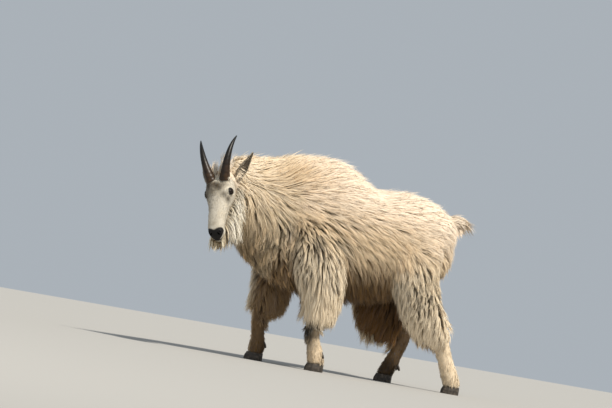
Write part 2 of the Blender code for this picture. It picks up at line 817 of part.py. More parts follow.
def plant(node, core, others, tree, count, length, width, depth, fall, draw, keep=None):
    """Locks spread evenly over a core, none where another core covers it."""
    areas = [face.area for face in core.data.polygons]
    shape = bmesh.new()
    shape.from_mesh(core.data)
    bmesh.ops.triangulate(shape, faces=shape.faces)
    triangles = [([vert.co.copy() for vert in face.verts], face.normal.copy(), face.calc_area())
                 for face in shape.faces]
    shape.free()
    total = sum(areas)
    weights = [item[2] for item in triangles]
    space = 0.80 * math.sqrt(total / max(count, 1))
    locks = []
    roots = []
    for attempt in range(count * 60):
        if len(locks) >= count:
            break
        corners, normal, area = draw.choices(triangles, weights)[0]
        a, b = draw.random(), draw.random()
        if a + b > 1.0:
            a, b = 1.0 - a, 1.0 - b
        root = corners[0] + (corners[1] - corners[0]) * a + (corners[2] - corners[0]) * b
        if any((root - other).length < space for other in roots):
            continue
        if keep is not None and not keep(root, normal):
            continue
        if any(inside(other, root) or other.find_nearest(root)[3] < 0.010 for other in others):
            continue
        size = draw.uniform(0.85, 1.15)
        path, normals = lock_path(node, root, normal, length * size, depth, 0.016, fall, tree, draw)
        lock = (path, normals, width * draw.uniform(0.85, 1.15), draw.uniform(0.010, 0.013))
        if sound(lock):
            roots.append(root)
            locks.append(lock)
    return locks


def head_details(tree):
    """The lids, lips and chin that are joined to the head, and its nostrils and line of the mouth."""
    added = []
    for side in (1, -1):
        out, along, across = eye_axes(side)
        centre = on_head(0.0, side * EYE_ACROSS, EYE_UP)
        middle = centre + out * 0.0098
        added.append(ring_body("lids", middle, along, across, out, 0.0162, 0.0128, 0.0040, 14, 5))
        brow = centre + out * 0.002 - NOSE * 0.004 + BROW * 0.006
        added.append(ball("brow", brow, (NOSE, across, out), (0.026, 0.019, 0.011), 6, 10))
        lip = on_head(0.180, side * 0.016, -0.040)
        added.append(ball("lip", lip, (LEFT, BROW, NOSE), (0.0215, 0.024, 0.026), 6, 10))
    added.append(ball("chin", on_head(0.190, 0.0, -0.079), (LEFT, BROW, NOSE), (0.023, 0.013, 0.022), 6, 10))
    cut = []
    for side in (1, -1):
        way = unit(NOSE * 0.85 + LEFT * 0.50 * side + BROW * 0.10)
        lead = unit(BROW * 0.80 - LEFT * 0.45 * side - way * (BROW * 0.80 - LEFT * 0.45 * side).dot(way))
        place = on_head(0.2075, side * 0.0165, -0.0215)
        cut.append(ball("nostril", place, (lead, way.cross(lead), way), (0.0095, 0.0042, 0.012), 6, 8))
    return added, cut


def mouth_line(body):
    """The thin groove between the lips, laid on the surface from one corner to the other."""
    tree = tree_of([body])
    guide = ((0.128, 0.050, -0.070), (0.150, 0.048, -0.067), (0.174, 0.044, -0.064), (0.195, 0.038, -0.062),
             (0.214, 0.022, -0.0605), (0.226, 0.010, -0.0595), (0.228, 0.0, -0.0590))
    guide = guide + tuple((f, -l, t) for f, l, t in guide[-2::-1])
    path = []
    for point in guide:
        found, normal, index, distance = tree.find_nearest(on_head(*point))
        path.append(found + normal * 0.0004)
    ends = [0.35] + [1.0] * (len(path) - 2) + [0.35]
    return cord("mouth", path, 0.0019, 6, ends)


def beard_locks(tree, draw):
    """The beard: locks that hang from the chin and along the lower jaw."""
    locks = []
    count = 15
    for index in range(count):
        s = index / (count - 1)
        f = 0.070 + 0.122 * s
        side = (0.75 if index % 2 else -0.75) + draw.uniform(-0.25, 0.25)
        half = 0.030 - 0.012 * s
        over = on_head(f, side * half, -0.125)
        found, normal, number, distance = tree.find_nearest(over)
        lowest = 0.492 + draw.uniform(-0.012, 0.016) + 0.018 * (1.0 - s)
        length = max(0.050, found.z - lowest)
        way = unit(DOWN + normal * 0.18 + FORWARD * draw.uniform(-0.10, 0.12))
        path = [found - normal * 0.010]
        normals = [normal.copy()]
        here = found + normal * 0.004
        for step in range(4):
            path.append(here.copy())
            normals.append(normal.copy())
            here = here + way * (length / 3.0)
            stray = Vector((draw.uniform(-0.10, 0.10), draw.uniform(-0.10, 0.10), 0.0))
            way = unit(way + DOWN * 0.35 + stray)
        lock = (path, normals, 0.021, 0.011)
        if sound(lock):
            locks.append(lock)
    return locks


def paint(body, colour, roughness):
    """The material of one part."""
    material = bpy.data.materials.new(body.name)
    material.use_nodes = True
    shader = material.node_tree.nodes["Principled BSDF"]
    shader.inputs["Base Color"].default_value = (*colour, 1.0)
    shader.inputs["Roughness"].default_value = roughness
    body.data.materials.clear()
    body.data.materials.append(material)


COAT_COLOUR = (0.78, 0.68, 0.50)
HORN_COLOUR = (0.045, 0.032, 0.022)
HOOF_COLOUR = (0.06, 0.05, 0.04)
EYE_COLOUR = (0.02, 0.012, 0.006)

# Soft nodes in the order they are made. Each one gives way to those made before it.
# name, count of locks, length, width, reach of the coat above the core, fall.
COAT = {
    "neck": (36, 0.160, 0.066, 0.040, 0.25),
    "shoulders": (40, 0.185, 0.082, 0.040, 0.16),
    "barrel": (34, 0.190, 0.084, 0.036, 0.18),
    "rump": (28, 0.165, 0.076, 0.030, 0.16),
    "tail": (6, 0.060, 0.034, 0.012, 0.00),
    "foreleg_left": (18, 0.140, 0.060, 0.032, 0.45),
    "foreleg_right": (17, 0.140, 0.060, 0.032, 0.45),
    "hindleg_left": (21, 0.130, 0.060, 0.026, 0.40),
    "hindleg_right": (20, 0.140, 0.060, 0.034, 0.40),
}

FEET = (
    ("front_left", SHANK_FRONT_LEFT, 0.05),
    ("front_right", SHANK_FRONT_RIGHT, 0.0),
    ("hind_left", SHANK_HIND_LEFT, 0.08),
    ("hind_right", SHANK_HIND_RIGHT, 0.0),
)


def core_of(name, grow=0.0, share=None):
    """The smooth core of a soft node."""
    share = CORE_SHARE if share is None else share
    limbs = {
        "foreleg_left": FORELEG_LEFT, "foreleg_right": FORELEG_RIGHT,
        "hindleg_left": HINDLEG_LEFT, "hindleg_right": HINDLEG_RIGHT,
    }
    if name == "neck":
        rings = limb_rings(NECK, UP, 2, 18, share, grow, flat_start=FORWARD)
    elif name == "tail":
        rings = limb_rings(TAIL, UP, 2, 10, share, grow)
    elif name in limbs:
        rings = limb_rings(limbs[name], FORWARD, 2, 14, share, grow)
    elif name == "head":
        rings = head_rings(1, 22, grow)
    else:
        index = TRUNK_NAMES.index(name)
        rings = trunk_rings(TRUNK_CUTS[index], TRUNK_CUTS[index + 1] - GAP, share, grow)
    return loft(name, rings)


def touching(tool, target, tree):
    """Whether a helper body reaches into another body."""
    own = BVHTree.FromPolygons(
        [vert.co for vert in tool.data.vertices], [tuple(face.vertices) for face in tool.data.polygons]
    )
    if own.overlap(tree):
        return True
    for vert in tool.data.vertices:
        found, normal, index, distance = tree.find_nearest(vert.co)
        if found is not None and (vert.co - found).dot(normal) < 0.0:
            return True
    return False


def main():
    """Builds every part and sets the goat on its origin."""
    for body in list(bpy.data.objects):
        bpy.data.objects.remove(body, do_unlink=True)
    draw = random.Random(SEED)
    made = []
    grown = {}

    for side, end in ((1, "left"), (-1, "right")):
        body = eye("eye_" + end, side)
        paint(body, EYE_COLOUR, 0.1)
        made.append(body)

    # The head, with its lids, lips, nostrils, mouth and beard.
    head = core_of("head")
    tree = tree_of([head])
    added, cut = head_details(tree)
    beard = beard_locks(tree, draw)
    combine(head, added, "UNION")
    cut.append(mouth_line(head))
    cut += [eye("socket", side, GAP) for side in (1, -1)]
    combine(head, cut, "DIFFERENCE")
    combine(head, [lock_body(lock) for lock in beard], "UNION")
    head.name = "head"
    paint(head, COAT_COLOUR, 0.8)
    made.append(head)

    def head_tools():
        return [core_of("head", GAP)] + [lock_body(lock, GAP) for lock in beard]

    grown["head"] = head_tools

    for side, end in ((1, "left"), (-1, "right")):
        body = horn("horn_" + end, side)
        combine(body, [core_of("head", GAP)], "DIFFERENCE")
        paint(body, HORN_COLOUR, 0.4)
        made.append(body)
        grown[body.name] = lambda side=side: [horn("grown", side, GAP)]
        body = ear("ear_" + end, side)
        combine(body, [core_of("head", GAP)], "DIFFERENCE")
        paint(body, COAT_COLOUR, 0.8)
        made.append(body)
        grown[body.name] = lambda side=side: [ear_block(side)]

    # The bare lower legs, with toes flat on the floor and dewclaws behind.
    for end, rows, heading in FEET:
        rings = limb_rings(rows, FORWARD, 1, 10, 0.0, 0.0, flat_end=DOWN)
        shank = loft("shank_" + end, rings)
        paint(shank, COAT_COLOUR, 0.8)
        made.append(shank)

        def shank_tools(rows=rows):
            return [loft("grown", limb_rings(rows, FORWARD, 1, 10, 0.0, GAP, flat_end=DOWN))]

        grown[shank.name] = shank_tools
        foot = Vector((rows[-1][0], rows[-1][1], 0.0))
        ankle = Vector((rows[-3][0], rows[-3][1], 0.088))
        for side, half in ((1, "outer"), (-1, "inner")):
            body = hoof("hoof_" + end + "_" + half, foot, heading, side)
            paint(body, HOOF_COLOUR, 0.5)
            made.append(body)
            body = dewclaw("dewclaw_" + end + "_" + half, ankle, rows[-3][5], heading, side)
            combine(body, shank_tools(), "DIFFERENCE")
            paint(body, HOOF_COLOUR, 0.5)
            made.append(body)

    # The soft nodes.
    cores = {name: core_of(name, 0.0) for name in COAT}
    cores["head"] = core_of("head")
    trees = {name: tree_of([body]) for name, body in cores.items()}
    whole = tree_of(list(cores.values()))
    planted = {}
    for name, (count, length, width, depth, fall) in COAT.items():
        others = [tree for other, tree in trees.items() if other != name]
        planted[name] = plant(name, cores[name], others, whole, count, length, width, depth, fall, draw)
    for name in COAT:
        body = cores[name]
        bpy.context.scene.collection.objects.unlink(body)
        bpy.context.scene.collection.objects.link(body)
        locks = planted.get(name, [])
        combine(body, [lock_body(lock) for lock in locks], "UNION")
        near = tree_of([body])
        tools = []
        for earlier in grown:
            for tool in grown[earlier]():
                if touching(tool, body, near):
                    tools.append(tool)
                else:
                    remove([tool])
        combine(body, tools, "DIFFERENCE")
        body.name = name
        paint(body, COAT_COLOUR, 0.8)
        made.append(body)

        def soft_tools(name=name, locks=locks, gap=GAP * (1.0 + 0.25 * list(COAT).index(name))):
            return [core_of(name, gap)] + [lock_body(lock, GAP) for lock in locks]

        grown[name] = soft_tools
    remove([cores["head"]])

    # The goat is set with the middle of its box over the origin and its soles on the floor.
    corners = np.array([vert.co for body in made for vert in body.data.vertices])
    low = corners.min(axis=0)
    high = corners.max(axis=0)
    shift = Vector((-(low[0] + high[0]) / 2.0, -(low[1] + high[1]) / 2.0, -low[2]))
    for body in made:
        body.data.transform(Matrix.Translation(shift))
        body.data.transform(Matrix.Scale(SCALE, 4))
        for face in body.data.polygons:
            face.use_smooth = False


main()
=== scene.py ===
"""The looks of a mountain goat: skin, coat, head, horns, hooves and eyes, with floor, lights and camera.

The tables and the head's frame are those of the solids, in the goat's drawing frame. Tufts are moved by
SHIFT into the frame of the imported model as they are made, and the other meshes when they are settled.
"""

import itertools
import math

import bmesh
import bpy
import numpy as np
from mathutils import Matrix, Vector
from mathutils.bvhtree import BVHTree
from mathutils.kdtree import KDTree


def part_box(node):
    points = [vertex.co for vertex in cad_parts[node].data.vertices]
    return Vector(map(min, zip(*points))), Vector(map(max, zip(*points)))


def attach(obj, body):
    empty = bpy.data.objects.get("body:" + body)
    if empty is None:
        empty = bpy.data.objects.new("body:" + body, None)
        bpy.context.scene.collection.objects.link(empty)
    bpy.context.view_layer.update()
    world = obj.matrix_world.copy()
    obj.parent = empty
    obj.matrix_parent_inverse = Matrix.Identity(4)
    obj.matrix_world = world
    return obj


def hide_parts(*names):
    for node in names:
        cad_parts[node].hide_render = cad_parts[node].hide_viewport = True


SEED = 11
DOWN = Vector((0.0, 0.0, -1.0))
UP = Vector((0.0, 0.0, 1.0))
ACROSS = Vector((0.0, 1.0, 0.0))
FORWARD = Vector((-1.0, 0.0, 0.0))

# A radius without end, for a weight that is the same all along an axis.
ANY = np.inf

# The trunk, cut across: x, top, bottom, half width, coat depth.
TRUNK = (
    (-0.480, 0.956, 0.370, 0.190, 0.080),
    (-0.430, 0.965, 0.362, 0.204, 0.080),
    (-0.330, 0.971, 0.358, 0.214, 0.075),
    (-0.230, 0.968, 0.362, 0.222, 0.070),
    (-0.150, 0.928, 0.366, 0.225, 0.068),
    (-0.080, 0.897, 0.374, 0.226, 0.065),
    (0.030, 0.887, 0.395, 0.224, 0.060),
    (0.130, 0.891, 0.430, 0.217, 0.060),
    (0.240, 0.866, 0.480, 0.205, 0.060),
    (0.315, 0.836, 0.535, 0.176, 0.060),
    (0.356, 0.808, 0.600, 0.130, 0.055),
    (0.378, 0.778, 0.660, 0.070, 0.045),
)

# Limbs and neck along their paths: x, y, z, half width, front, back, coat depth.
LIMBS = {
    "neck": (
        (-0.4804, 0.000, 0.663, 0.190, 0.293, 0.293, 0.080),
        (-0.545, -0.004, 0.682, 0.170, 0.264, 0.250, 0.085),
        (-0.615, -0.014, 0.708, 0.138, 0.244, 0.190, 0.080),
        (-0.685, -0.032, 0.733, 0.102, 0.206, 0.138, 0.065),
        (-0.742, -0.055, 0.753, 0.074, 0.172, 0.102, 0.050),
        (-0.785, -0.080, 0.768, 0.058, 0.126, 0.078, 0.038),
    ),
    "foreleg_left": (
        (-0.370, -0.080, 0.760, 0.060, 0.110, 0.110, 0.030),
        (-0.345, -0.135, 0.620, 0.088, 0.118, 0.150, 0.050),
        (-0.305, -0.148, 0.480, 0.092, 0.130, 0.145, 0.065),
        (-0.272, -0.142, 0.370, 0.088, 0.105, 0.128, 0.070),
        (-0.262, -0.130, 0.290, 0.080, 0.085, 0.112, 0.070),
        (-0.270, -0.120, 0.218, 0.052, 0.045, 0.070, 0.034),
    ),
    "foreleg_right": (
        (-0.420, 0.080, 0.760, 0.060, 0.110, 0.110, 0.030),
        (-0.428, 0.135, 0.620, 0.088, 0.115, 0.150, 0.050),
        (-0.440, 0.148, 0.480, 0.092, 0.090, 0.150, 0.060),
        (-0.448, 0.142, 0.370, 0.088, 0.070, 0.150, 0.060),
        (-0.450, 0.130, 0.280, 0.080, 0.074, 0.140, 0.065),
        (-0.450, 0.118, 0.200, 0.052, 0.042, 0.070, 0.034),
    ),
    "hindleg_left": (
        (0.230, -0.070, 0.740, 0.070, 0.120, 0.090, 0.030),
        (0.210, -0.130, 0.610, 0.098, 0.155, 0.088, 0.050),
        (0.196, -0.145, 0.520, 0.100, 0.160, 0.095, 0.055),
        (0.212, -0.146, 0.440, 0.092, 0.135, 0.098, 0.055),
        (0.268, -0.138, 0.350, 0.080, 0.132, 0.086, 0.055),
        (0.326, -0.130, 0.290, 0.062, 0.100, 0.070, 0.045),
        (0.356, -0.124, 0.245, 0.048, 0.062, 0.054, 0.026),
    ),
    "hindleg_right": (
        (0.220, 0.070, 0.740, 0.070, 0.120, 0.100, 0.030),
        (0.185, 0.130, 0.610, 0.098, 0.160, 0.110, 0.050),
        (0.155, 0.145, 0.520, 0.100, 0.165, 0.120, 0.060),
        (0.162, 0.146, 0.430, 0.092, 0.186, 0.125, 0.070),
        (0.192, 0.138, 0.345, 0.080, 0.196, 0.115, 0.070),
        (0.220, 0.130, 0.275, 0.060, 0.166, 0.085, 0.060),
        (0.228, 0.126, 0.216, 0.042, 0.110, 0.056, 0.040),
    ),
    "shank_front_left": (
        (-0.274, -0.124, 0.255, 0.032, 0.034, 0.036, 0.004),
        (-0.262, -0.116, 0.175, 0.030, 0.032, 0.034, 0.004),
        (-0.248, -0.113, 0.130, 0.029, 0.031, 0.034, 0.004),
        (-0.234, -0.110, 0.085, 0.034, 0.034, 0.038, 0.004),
        (-0.224, -0.110, 0.052, 0.037, 0.036, 0.036, 0.004),
        (-0.222, -0.110, 0.036, 0.036, 0.036, 0.036, 0.003),
    ),
    "shank_front_right": (
        (-0.452, 0.122, 0.245, 0.032, 0.034, 0.036, 0.004),
        (-0.451, 0.115, 0.165, 0.031, 0.033, 0.035, 0.004),
        (-0.447, 0.112, 0.125, 0.030, 0.032, 0.035, 0.004),
        (-0.443, 0.110, 0.085, 0.034, 0.035, 0.038, 0.004),
        (-0.443, 0.110, 0.052, 0.037, 0.036, 0.036, 0.004),
        (-0.446, 0.110, 0.036, 0.036, 0.036, 0.036, 0.003),
    ),
    "shank_hind_left": (
        (0.340, -0.126, 0.272, 0.036, 0.048, 0.044, 0.004),
        (0.374, -0.121, 0.205, 0.033, 0.040, 0.042, 0.004),
        (0.402, -0.120, 0.150, 0.032, 0.037, 0.038, 0.004),
        (0.430, -0.120, 0.092, 0.036, 0.040, 0.042, 0.004),
        (0.448, -0.120, 0.055, 0.038, 0.040, 0.039, 0.004),
        (0.452, -0.120, 0.036, 0.037, 0.038, 0.037, 0.003),
    ),
    "shank_hind_right": (
        (0.268, 0.126, 0.274, 0.034, 0.044, 0.040, 0.004),
        (0.270, 0.121, 0.212, 0.032, 0.036, 0.036, 0.004),
        (0.253, 0.120, 0.155, 0.030, 0.033, 0.035, 0.004),
        (0.231, 0.120, 0.100, 0.034, 0.035, 0.039, 0.004),
        (0.213, 0.120, 0.058, 0.037, 0.037, 0.037, 0.004),
        (0.205, 0.120, 0.036, 0.036, 0.036, 0.036, 0.003),
    ),
    "tail": (
        (0.340, 0.0, 0.790, 0.042, 0.042, 0.045, 0.030),
        (0.378, 0.0, 0.803, 0.041, 0.037, 0.042, 0.030),
        (0.408, 0.0, 0.810, 0.030, 0.026, 0.032, 0.022),
        (0.430, 0.0, 0.810, 0.011, 0.010, 0.013, 0.008),
    ),
}

# The head's frame: f runs towards the nose, l to the goat's left and t out of the forehead.
# Rings along f: f, top, bottom, half width, jaw share.
HEAD_PLACE = Vector((-0.819, -0.150, 0.7105))
HEAD_HEADING = 76.8
HEAD_PITCH = 56.0
HEAD_ROLL = 28.6
HEAD_RINGS = (
    (-0.118, -0.020, -0.085, 0.034, 0.90),
    (-0.108, 0.008, -0.112, 0.050, 0.90),
    (-0.085, 0.030, -0.134, 0.059, 0.84),
    (-0.055, 0.042, -0.147, 0.066, 0.80),
    (-0.028, 0.045, -0.150, 0.067, 0.74),
    (0.000, 0.040, -0.146, 0.064, 0.68),
    (0.028, 0.032, -0.134, 0.057, 0.64),
    (0.058, 0.025, -0.118, 0.047, 0.58),
    (0.090, 0.020, -0.104, 0.042, 0.58),
    (0.122, 0.016, -0.093, 0.039, 0.62),
    (0.152, 0.012, -0.088, 0.038, 0.68),
    (0.176, 0.007, -0.086, 0.037, 0.74),
    (0.196, -0.001, -0.084, 0.035, 0.78),
    (0.209, -0.012, -0.079, 0.029, 0.82),
    (0.217, -0.026, -0.067, 0.017, 0.86),
)
EYE_ACROSS = 0.0510
EYE_UP = 0.002
EYE_RADIUS = 0.0165
HORN_LENGTH = 0.224
HORN_BASE = (-0.053, 0.0316, 0.028)
EAR_LENGTH = 0.151
EAR_BASE = (-0.092, 0.054, -0.038)

# How far the skin lies inside the outline, as a share of the coat's depth.
SKIN_SHARE = 0.62

# The lie of the coat on the flanks: x, z, then the way it runs along x and up.
FLANK_LIE = (
    (-0.70, 0.80, 0.90, -0.35), (-0.69, 0.70, 0.15, -1.00), (-0.65, 0.55, 0.20, -1.00),
    (-0.67, 0.78, 1.00, -0.20), (-0.63, 0.89, 0.30, 0.95), (-0.57, 0.81, 0.98, 0.10),
    (-0.48, 0.91, 0.30, 1.00), (-0.48, 0.82, 0.75, 0.62), (-0.36, 0.91, 0.55, 0.80),
    (-0.40, 0.81, 0.97, 0.27), (-0.25, 0.89, 0.90, 0.35), (-0.15, 0.86, 1.00, 0.06),
    (-0.64, 0.69, 0.50, -0.90), (-0.58, 0.72, 0.80, -0.62), (-0.51, 0.73, 0.95, -0.34),
    (-0.44, 0.72, 1.00, -0.27), (-0.31, 0.77, 1.00, 0.08), (-0.21, 0.74, 1.00, 0.05),
    (-0.02, 0.78, 1.00, 0.03), (0.12, 0.83, 1.00, -0.07), (0.14, 0.70, 1.00, 0.04),
    (0.23, 0.64, 1.00, -0.04), (-0.24, 0.63, 0.97, -0.30), (-0.17, 0.55, 0.85, -0.62),
    (-0.05, 0.62, 1.00, -0.20), (-0.08, 0.53, 0.76, -0.76), (-0.33, 0.61, 0.70, -0.72),
    (-0.28, 0.53, 0.50, -0.92), (-0.57, 0.50, -0.40, -0.90), (-0.48, 0.57, -0.10, -1.00),
    (-0.42, 0.49, 0.20, -1.00), (-0.57, 0.39, -0.12, -1.00), (0.06, 0.50, 0.40, -0.95),
    (0.10, 0.57, 0.60, -0.80), (0.21, 0.55, 0.65, -0.78), (0.05, 0.64, 0.96, -0.30),
    (-0.17, 0.44, 0.35, -1.00), (0.31, 0.58, 0.90, -0.45), (0.29, 0.44, 0.28, -1.00),
)

# The slit between the lids: its half length, and its height above and below. Then the dark rim round it.
EYE_SLIT = (0.0126, 0.0130, 0.0115)
EYE_RIM = (0.0158, 0.0182)

# The horns: angles in degrees from the head's axes, and the radius at the base.
HORN_LEAN = 50.0
HORN_CURVE = 68.0
HORN_SPREAD = 14.3
HORN_RADIUS = 0.0225

# Skin: steps between two rows of a limb, points of its rings, and the grids that melt the parts together.
LIMB_STEPS = 5
LIMB_SIDES = 32
HEAD_GRID = 0.0022
BODY_GRID = 0.0066

# Hair: parts of a guide, its length as a share of the coat's depth, the tail's length and rise, and
# for each part of the body how many guides are tried and their least spacing.
STEPS = 6
LENGTH_SHARE = 1.70
TAIL_HAIR = (0.072, 0.010)
HEAD_GUIDES = (9000, 0.0100)
SHANK_GUIDES = (6000, 0.0110)
BODY_GUIDES = (90000, 0.0140)
BEARD_TUFTS = 4200
BEARD_SPACING = 0.0090
EAR_HAIRS = 1100

# The trunk's coat is parted at these places along x.
SHOULDERS_END = -0.205
BARREL_END = 0.105

# The widths of a tuft from its root to the ring before its tip, as shares of its full width.
LONG_TUFT = (0.70, 1.0, 0.66)
SHORT_TUFT = (0.80, 1.0)
EAR_TUFT = (0.7, 1.0)
BEARD_TUFT = (0.7, 1.0, 0.90, 0.60)

# The corners of a tuft's section: to the side and outward in half widths, and how its shading leans out.
SECTION = ((1.0, -0.25, 0.30), (0.0, 0.55, 0.40), (-1.0, -0.25, 0.30))

# How far the roots are sunk into the skin, and the side of a tuft's patch on the flat map.
ROOT_SUNK = 0.003
UV_PATCH = 0.003

# The camera: its turn, rise and roll in degrees, what it looks at, its distance and its lens in mm.
CAMERA_TURN = -18.0
CAMERA_RISE = -3.4
CAMERA_ROLL = 10.0
CAMERA_AIM = Vector((-0.360, 0.0, 0.748))
CAMERA_DISTANCE = 9.0
CAMERA_LENS = 115.1
SENSOR_WIDTH = 36.0

# The stage: half the floor's side, the sky's strength, and for each lamp where it stands from the
# middle, its strength, its colour and its size (an angle for the sun).
FLOOR_REACH = 14.0
SKY_STRENGTH = 0.56
KEY_LIGHT = ((1.4, -2.6, 3.9), 4.2, (1.0, 0.94, 0.84), 0.09)
FILL_LIGHT = ((-3.5, -4.0, 1.6), 16.0, (1.0, 0.95, 0.88), 3.0)


def unit(vector):
    """The vector at length one."""
    return Vector(vector).normalized()


def head_axes():
    """The head's three directions: towards the nose, to its left and out of the forehead."""
    heading = math.radians(HEAD_HEADING)
    pitch = math.radians(HEAD_PITCH)
    ahead = Vector((-math.cos(heading), -math.sin(heading), 0.0))
    nose = math.cos(pitch) * ahead - math.sin(pitch) * UP
    left = UP.cross(ahead)
    left = Matrix.Rotation(math.radians(HEAD_ROLL), 3, nose) @ left
    return nose, left, nose.cross(left)


NOSE, LEFT, BROW = head_axes()


def on_head(f, l, t):
    """A point of the head's frame in the drawing frame."""
    return HEAD_PLACE + NOSE * f + LEFT * l + BROW * t


def in_head(points):
    """Points of the drawing frame in the head's frame, as an array."""
    axes = np.array([NOSE, LEFT, BROW])
    return (np.asarray(points) - np.array(HEAD_PLACE)) @ axes.T


def spread(rows, steps):
    """A smooth run of rows through the given ones, with this many steps between two."""
    table = np.array(rows, dtype=float)
    ends = np.vstack((2 * table[0] - table[1], table, 2 * table[-1] - table[-2]))
    result = []
    for index in range(len(table) - 1):
        a, b, c, d = ends[index:index + 4]
        for step in range(steps):
            s = step / steps
            result.append(
                0.5 * (2 * b + (c - a) * s + (2 * a - 5 * b + 4 * c - d) * s * s
                       + (3 * b - a - 3 * c + d) * s ** 3)
            )
    result.append(table[-1])
    return np.array(result)


def placed(name, data):
    """A new object with this data, in the scene."""
    body = bpy.data.objects.new(name, data)
    bpy.context.scene.collection.objects.link(body)
    return body


def mesh_object(name, points, faces):
    """One mesh object, its faces turned outward."""
    mesh = bpy.data.meshes.new(name)
    mesh.from_pydata([tuple(point) for point in points], [], [tuple(face) for face in faces])
    shape = bmesh.new()
    shape.from_mesh(mesh)
    bmesh.ops.recalc_face_normals(shape, faces=shape.faces)
    if shape.calc_volume(signed=True) < 0:
        bmesh.ops.reverse_faces(shape, faces=shape.faces)
    shape.to_mesh(mesh)
    shape.free()
    return placed(name, mesh)


def loft(name, rings):
    """A closed body through rings that all have the same number of points."""
    count = len(rings[0])
    points = [point for ring in rings for point in ring]
    faces = []
    for row in range(len(rings) - 1):
        low = row * count
        for step in range(count):
            after = (step + 1) % count
            faces.append((low + step, low + after, low + count + after, low + count + step))
    faces.append(tuple(range(count)))
    faces.append(tuple(range(len(points) - count, len(points))))
    return mesh_object(name, points, faces)


def circle(count):
    """The cosine and sine of even steps round a circle."""
    angles = [2.0 * math.pi * step / count for step in range(count)]
    return [(math.cos(angle), math.sin(angle)) for angle in angles]


def oval(centre, across, along, half, front, back, sides, power=1.0):
    """A ring of points: half to both sides, with a front and a back reach of their own."""
    ring = []
    for c, s in circle(sides):
        aside = half * math.copysign(abs(c) ** power, c)
        ahead = (front if s > 0 else back) * math.copysign(abs(s) ** power, s)
        ring.append(centre + across * aside + along * ahead)
    return ring


def limb_rings(rows, lead, flat_start, flat_end):
    """The rings of a limb's or the neck's skin, drawn in by its share of the coat's depth."""
    run = spread(rows, LIMB_STEPS)
    rings = []
    count = len(run)
    for index in range(count):
        here = Vector(run[index][:3])
        before = Vector(run[max(index - 1, 0)][:3])
        after = Vector(run[min(index + 1, count - 1)][:3])
        way = unit(after - before)
        if flat_start is not None and index < 2 * LIMB_STEPS:
            part = index / (2.0 * LIMB_STEPS)
            way = unit(flat_start * (1.0 - part) + way * part)
        if flat_end is not None and index > count * 0.6:
            way = flat_end
        front = unit(lead - way * lead.dot(way))
        half, ahead, behind, coat = run[index][3:7]
        reaches = (half - coat * SKIN_SHARE, ahead - coat * SKIN_SHARE, behind - coat * SKIN_SHARE)
        rings.append(oval(here, way.cross(front), front, *reaches, LIMB_SIDES))
    return rings


def trunk_rings():
    """The rings of the trunk's skin, drawn in further at the seat."""
    rings = []
    for x, top, bottom, half, coat in spread(TRUNK, 4):
        less = coat * SKIN_SHARE
        inward = 0.032 * min(1.0, max(0.0, (x - 0.20) / 0.16))
        middle = Vector((x - inward, 0.0, (top + bottom) / 2.0))
        reach = (top - bottom) / 2.0 - less
        rings.append(oval(middle, ACROSS, UP, half - less, reach, reach, 48, 0.92))
    return rings


def head_rings(steps, sides, less):
    """The rings of the head, broad at the brow and narrower at the jaw."""
    rings = []
    for f, top, bottom, half, jaw in spread(HEAD_RINGS, steps):
        level = top - 0.32 * (top - bottom)
        ring = []
        for c, s in circle(sides):
            across = math.copysign(abs(c) ** 0.85, c)
            if s > 0:
                up = (top - level - less) * s ** 0.85
                share = 1.0
            else:
                up = -(level - bottom - less) * (-s) ** 0.9
                share = 1.0 - (1.0 - jaw) * (-s)
            ring.append(on_head(f, across * (half * share - less), level + up))
        rings.append(ring)
    return rings


def ball(name, centre, axes, radii, rows=12, sides=20):
    """A closed ellipsoid with its poles along the third axis."""
    points = [centre - axes[2] * radii[2]]
    for row in range(1, rows):
        level = -math.cos(math.pi * row / rows)
        width = math.sin(math.pi * row / rows)
        for c, s in circle(sides):
            points.append(
                centre + axes[0] * (radii[0] * width * c) + axes[1] * (radii[1] * width * s)
                + axes[2] * (radii[2] * level)
            )
    points.append(centre + axes[2] * radii[2])
    faces = []
    last = len(points) - 1
    top = 1 + (rows - 2) * sides
    for step in range(sides):
        after = (step + 1) % sides
        faces.append((0, 1 + after, 1 + step))
        faces.append((last, top + step, top + after))
        for low in range(1, top, sides):
            faces.append((low + step, low + after, low + sides + after, low + sides + step))
    return mesh_object(name, points, faces)


def cord(name, path, radius, sides, shares):
    """A thin round body along a path of points, with a share of the radius at each."""
    rings = []
    last = len(path) - 1
    for index, here in enumerate(path):
        way = unit(path[min(index + 1, last)] - path[max(index - 1, 0)])
        guide = BROW if abs(way.dot(BROW)) < 0.9 else LEFT
        across = unit(guide - way * guide.dot(way))
        size = radius * shares[index]
        rings.append(oval(here, across, way.cross(across), size, size, size, sides))
    return loft(name, rings)


def remove(bodies):
    """Takes helper bodies out of the scene."""
    for body in bodies:
        mesh = body.data
        bpy.data.objects.remove(body, do_unlink=True)
        if mesh.users == 0:
            bpy.data.meshes.remove(mesh)


def join(name, bodies):
    """One object from the meshes of several."""
    shape = bmesh.new()
    for body in bodies:
        shape.from_mesh(body.data)
    mesh = bpy.data.meshes.new(name)
    shape.to_mesh(mesh)
    shape.free()
    remove(bodies)
    return placed(name, mesh)


def baked(body):
    """Replaces a body's mesh by the one its modifiers make."""
    bpy.context.view_layer.update()
    graph = bpy.context.evaluated_depsgraph_get()
    mesh = bpy.data.meshes.new_from_object(body.evaluated_get(graph))
    body.modifiers.clear()
    body.data = mesh
    return body


def remesh(body, size):
    """Melts overlapping bodies into one even surface."""
    modifier = body.modifiers.new("remesh", "REMESH")
    modifier.mode = "VOXEL"
    modifier.voxel_size = size
    return baked(body)


def relax(body, factor, times):
    """Smooths a surface evenly."""
    modifier = body.modifiers.new("smooth", "SMOOTH")
    modifier.factor = factor
    modifier.iterations = times
    return baked(body)


